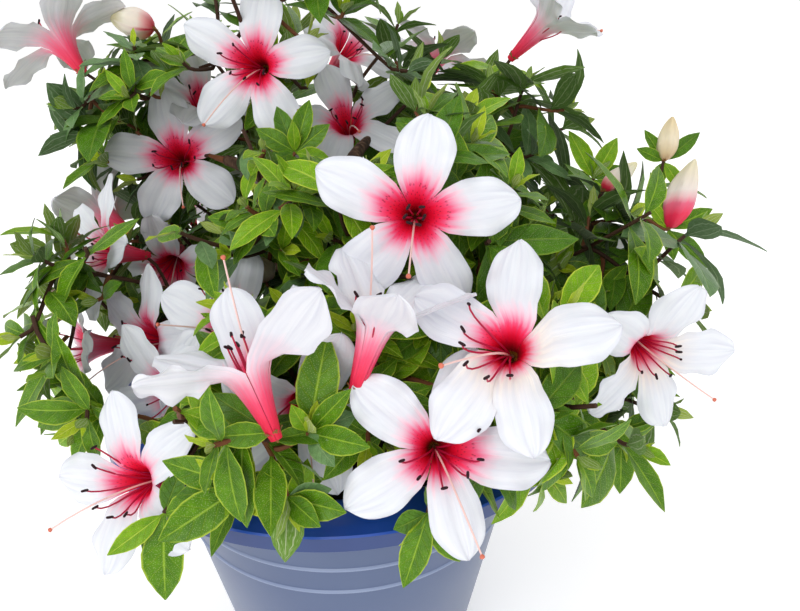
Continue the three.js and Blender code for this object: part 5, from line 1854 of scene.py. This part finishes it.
def drillDrains(piece):
    # the drain holes, cut through the floor
    drill = bmesh.new()
    radius, out = pot["drainRadius"] * mm, pot["drainPlace"] * mm
    for i in range(pot["drainHoles"]):
        angle = 2 * pi * i / pot["drainHoles"]
        where = Matrix.Translation((out * cos(angle), out * sin(angle), pot["wall"] / 2 * mm))
        bmesh.ops.create_cone(drill, cap_ends=True, segments=pot["drainSides"], radius1=radius,
                              radius2=radius, depth=4 * pot["wall"] * mm, matrix=where)
    mesh = bpy.data.meshes.new("drill")
    drill.to_mesh(mesh)
    drill.free()
    bits = bpy.data.objects.new("drill", mesh)
    bpy.context.collection.objects.link(bits)
    cut = piece.modifiers.new("drain", "BOOLEAN")
    cut.operation = "DIFFERENCE"
    cut.object = bits
    cut.solver = "EXACT"
    bpy.context.view_layer.objects.active = piece
    bpy.ops.object.modifier_apply(modifier="drain")
    bpy.data.objects.remove(bits)


def makePot():
    mesh = potShell()
    # one blue plastic given a colour by facing: the greyer body and skirt and the saturated collar are
    # painted reflection, the lighter raised rings a painted highlight
    mesh.materials.append(mouldedPlastic("polypropyleneBody", "#43557c", "#4e5f82", 0.42, 0.3))
    mesh.materials.append(mouldedPlastic("polypropyleneSkirt", "#263d78", "#304880", 0.4, 0.2))
    mesh.materials.append(mouldedPlastic("polypropyleneCollar", "#1a4eb4", "#265cc4", 0.34, 0.25))
    mesh.materials.append(mouldedPlastic("polypropyleneRing", "#7c8aac", "#8a98b6", 0.4, 0.3))
    piece = bpy.data.objects.new("pot_body", mesh)
    bpy.context.collection.objects.link(piece)
    drillDrains(piece)
    piece.data.set_sharp_from_angle(angle=radians(35))
    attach(piece, "root")
    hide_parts("pot")
    print("pot made")


makePot()


# Compost: dark and crumbly, a little lower at the wall, with crumbs and bits of bark on top
compost = {
    "seed": 303,
    "dish": 3, "level": 36, "gap": 0.3, "rings": 30, "segments": 90, "crumbs": 600, "relief": 1.0,
    "sunk": 0.6, "lumps": 0.35, "fineLumps": 0.9, "mapSize": 200,
}


def fallAt(r, edgeRadius):
    # how far the compost dips towards the wall
    return compost["dish"] * max(0, (r - compost["level"]) / (edgeRadius - compost["level"]))


def addCrumbs(batch, edgeRadius):
    # crumbs and bits of bark that lie on the compost, most of them small
    draw = seeded(compost["seed"])
    for _ in range(compost["crumbs"]):
        r, a = edgeRadius * 0.98 * sqrt(next(draw)), 2 * pi * next(draw)
        fall = fallAt(r, edgeRadius)
        size = 0.5 + 1.4 * next(draw) ** 3
        middle = Vector((r * cos(a), r * sin(a), soilTop - fall - 0.4 + 0.3 * size))
        way = facing(360 * next(draw), 50 * (next(draw) - 0.5))
        long = size * (1 + 2.5 * next(draw) ** 2)
        line = [middle + way * long * k for k in (-1.0, -0.6, 0.5, 1.0)]
        places, faces, maps = tube(line, [size * w for w in (0.45, 0.9, 1.0, 0.4)], 5)
        addTo(batch, places, faces, 1 + floor(2.2 * next(draw)) % 2, maps)


def makeCompost():
    foot = pot["wall"] + compost["gap"]
    edgeRadius = bodyAt(lip - soilTop + compost["dish"]) - pot["wall"] - compost["gap"]
    batch = newBatch()
    places = [(0, 0, soilTop)]
    for i in range(1, compost["rings"] + 1):
        r = edgeRadius * i / compost["rings"]
        fall = fallAt(r, edgeRadius)
        for k in range(compost["segments"]):
            a = 2 * pi * k / compost["segments"]
            x, y = r * cos(a), r * sin(a)
            lump = noise.noise(Vector((x, y, 0)) * compost["lumps"])
            lump += 0.5 * noise.noise(Vector((x, y, 7)) * compost["fineLumps"])
            rise = compost["relief"] * lump if i < compost["rings"] else 0
            places.append((x, y, soilTop - fall + (rise - compost["sunk"])))
    wallRadius = bodyAt(lip - foot) - pot["wall"] - compost["gap"]
    n = compost["segments"]
    angles = [2 * pi * k / n for k in range(n)]
    places += [(wallRadius * cos(a), wallRadius * sin(a), foot) for a in angles]
    places.append((0, 0, foot))
    faces = []
    for k in range(n):
        after = (k + 1) % n
        faces.append((0, 1 + k, 1 + after))
        for i in range(compost["rings"]):
            a, b = 1 + i * n + k, 1 + i * n + after
            faces += [(a, a + n, b + n), (a, b + n, b)]
        last = 1 + compost["rings"] * n
        faces.append((last + k, last + n, last + after))
    maps = np.array([(x / compost["mapSize"] + 0.5, y / compost["mapSize"] + 0.5) for x, y, _ in places])
    addTo(batch, places, np.array(faces), 0, maps)
    addCrumbs(batch, edgeRadius)
    looks = [plainSkin("compostPeat", "#2a1a10", 0.95, 0.6, 700.0),
             plainSkin("compostCrumb", "#3a2618", 0.9, 0.5, 900.0),
             plainSkin("compostBarkBit", "#5e3f28", 0.9, 0.5, 900.0)]
    makePiece("compost", batch, looks, ["soil"], sharp=80)


makeCompost()


# Stage: a pale floor to the horizon, and soft light from above on the left, as in a small studio
stage = {
    "floorHalf": 30.0,
    "floorGlow": 0.34,
    "sky": 0.75,
    "key": {"place": (-1.1, -2.0, 2.2), "size": 1.6, "power": 25.0},
    "front": {"place": (-0.3, -3.0, 1.3), "size": 1.8, "power": 14.0},
    "rim": {"place": (0.6, 2.4, 2.0), "size": 1.4, "power": 9.0},
}


def addStage():
    half = stage["floorHalf"]
    mesh = bpy.data.meshes.new("floor")
    corners = [(-half, -half, 0), (half, -half, 0), (half, half, 0), (-half, half, 0)]
    mesh.from_pydata(corners, [], [(0, 1, 2, 3)])
    finish = {"Base Color": linear("#f7f7f7"), "Roughness": 0.9, "Emission Color": linear("#ffffff"),
              "Emission Strength": stage["floorGlow"]}
    material = newMaterial("paleFloor", finish)[0]
    mesh.materials.append(material)
    floor_ = bpy.data.objects.new("floor", mesh)
    bpy.context.collection.objects.link(floor_)
    floor_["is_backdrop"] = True
    for name in ("key", "front", "rim"):
        data = bpy.data.lights.new(name, "AREA")
        data.shape = "DISK"
        data.size = stage[name]["size"]
        data.energy = stage[name]["power"]
        lamp = bpy.data.objects.new(name, data)
        lamp.location = stage[name]["place"]
        aim = Vector((0, 0, 0.18)) - lamp.location
        lamp.rotation_euler = aim.to_track_quat("-Z", "Y").to_euler()
        bpy.context.collection.objects.link(lamp)
    world = bpy.data.worlds.new("studio")
    world.use_nodes = True
    sky = world.node_tree.nodes["Background"]
    sky.inputs["Color"].default_value = linear("#ffffff")
    sky.inputs["Strength"].default_value = stage["sky"]
    bpy.context.scene.world = world
    bpy.context.scene.view_settings.view_transform = "Standard"


addStage()
print("stage lit")

[[[float(x) for x in corner] for corner in box] for box in (cadBox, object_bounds())]
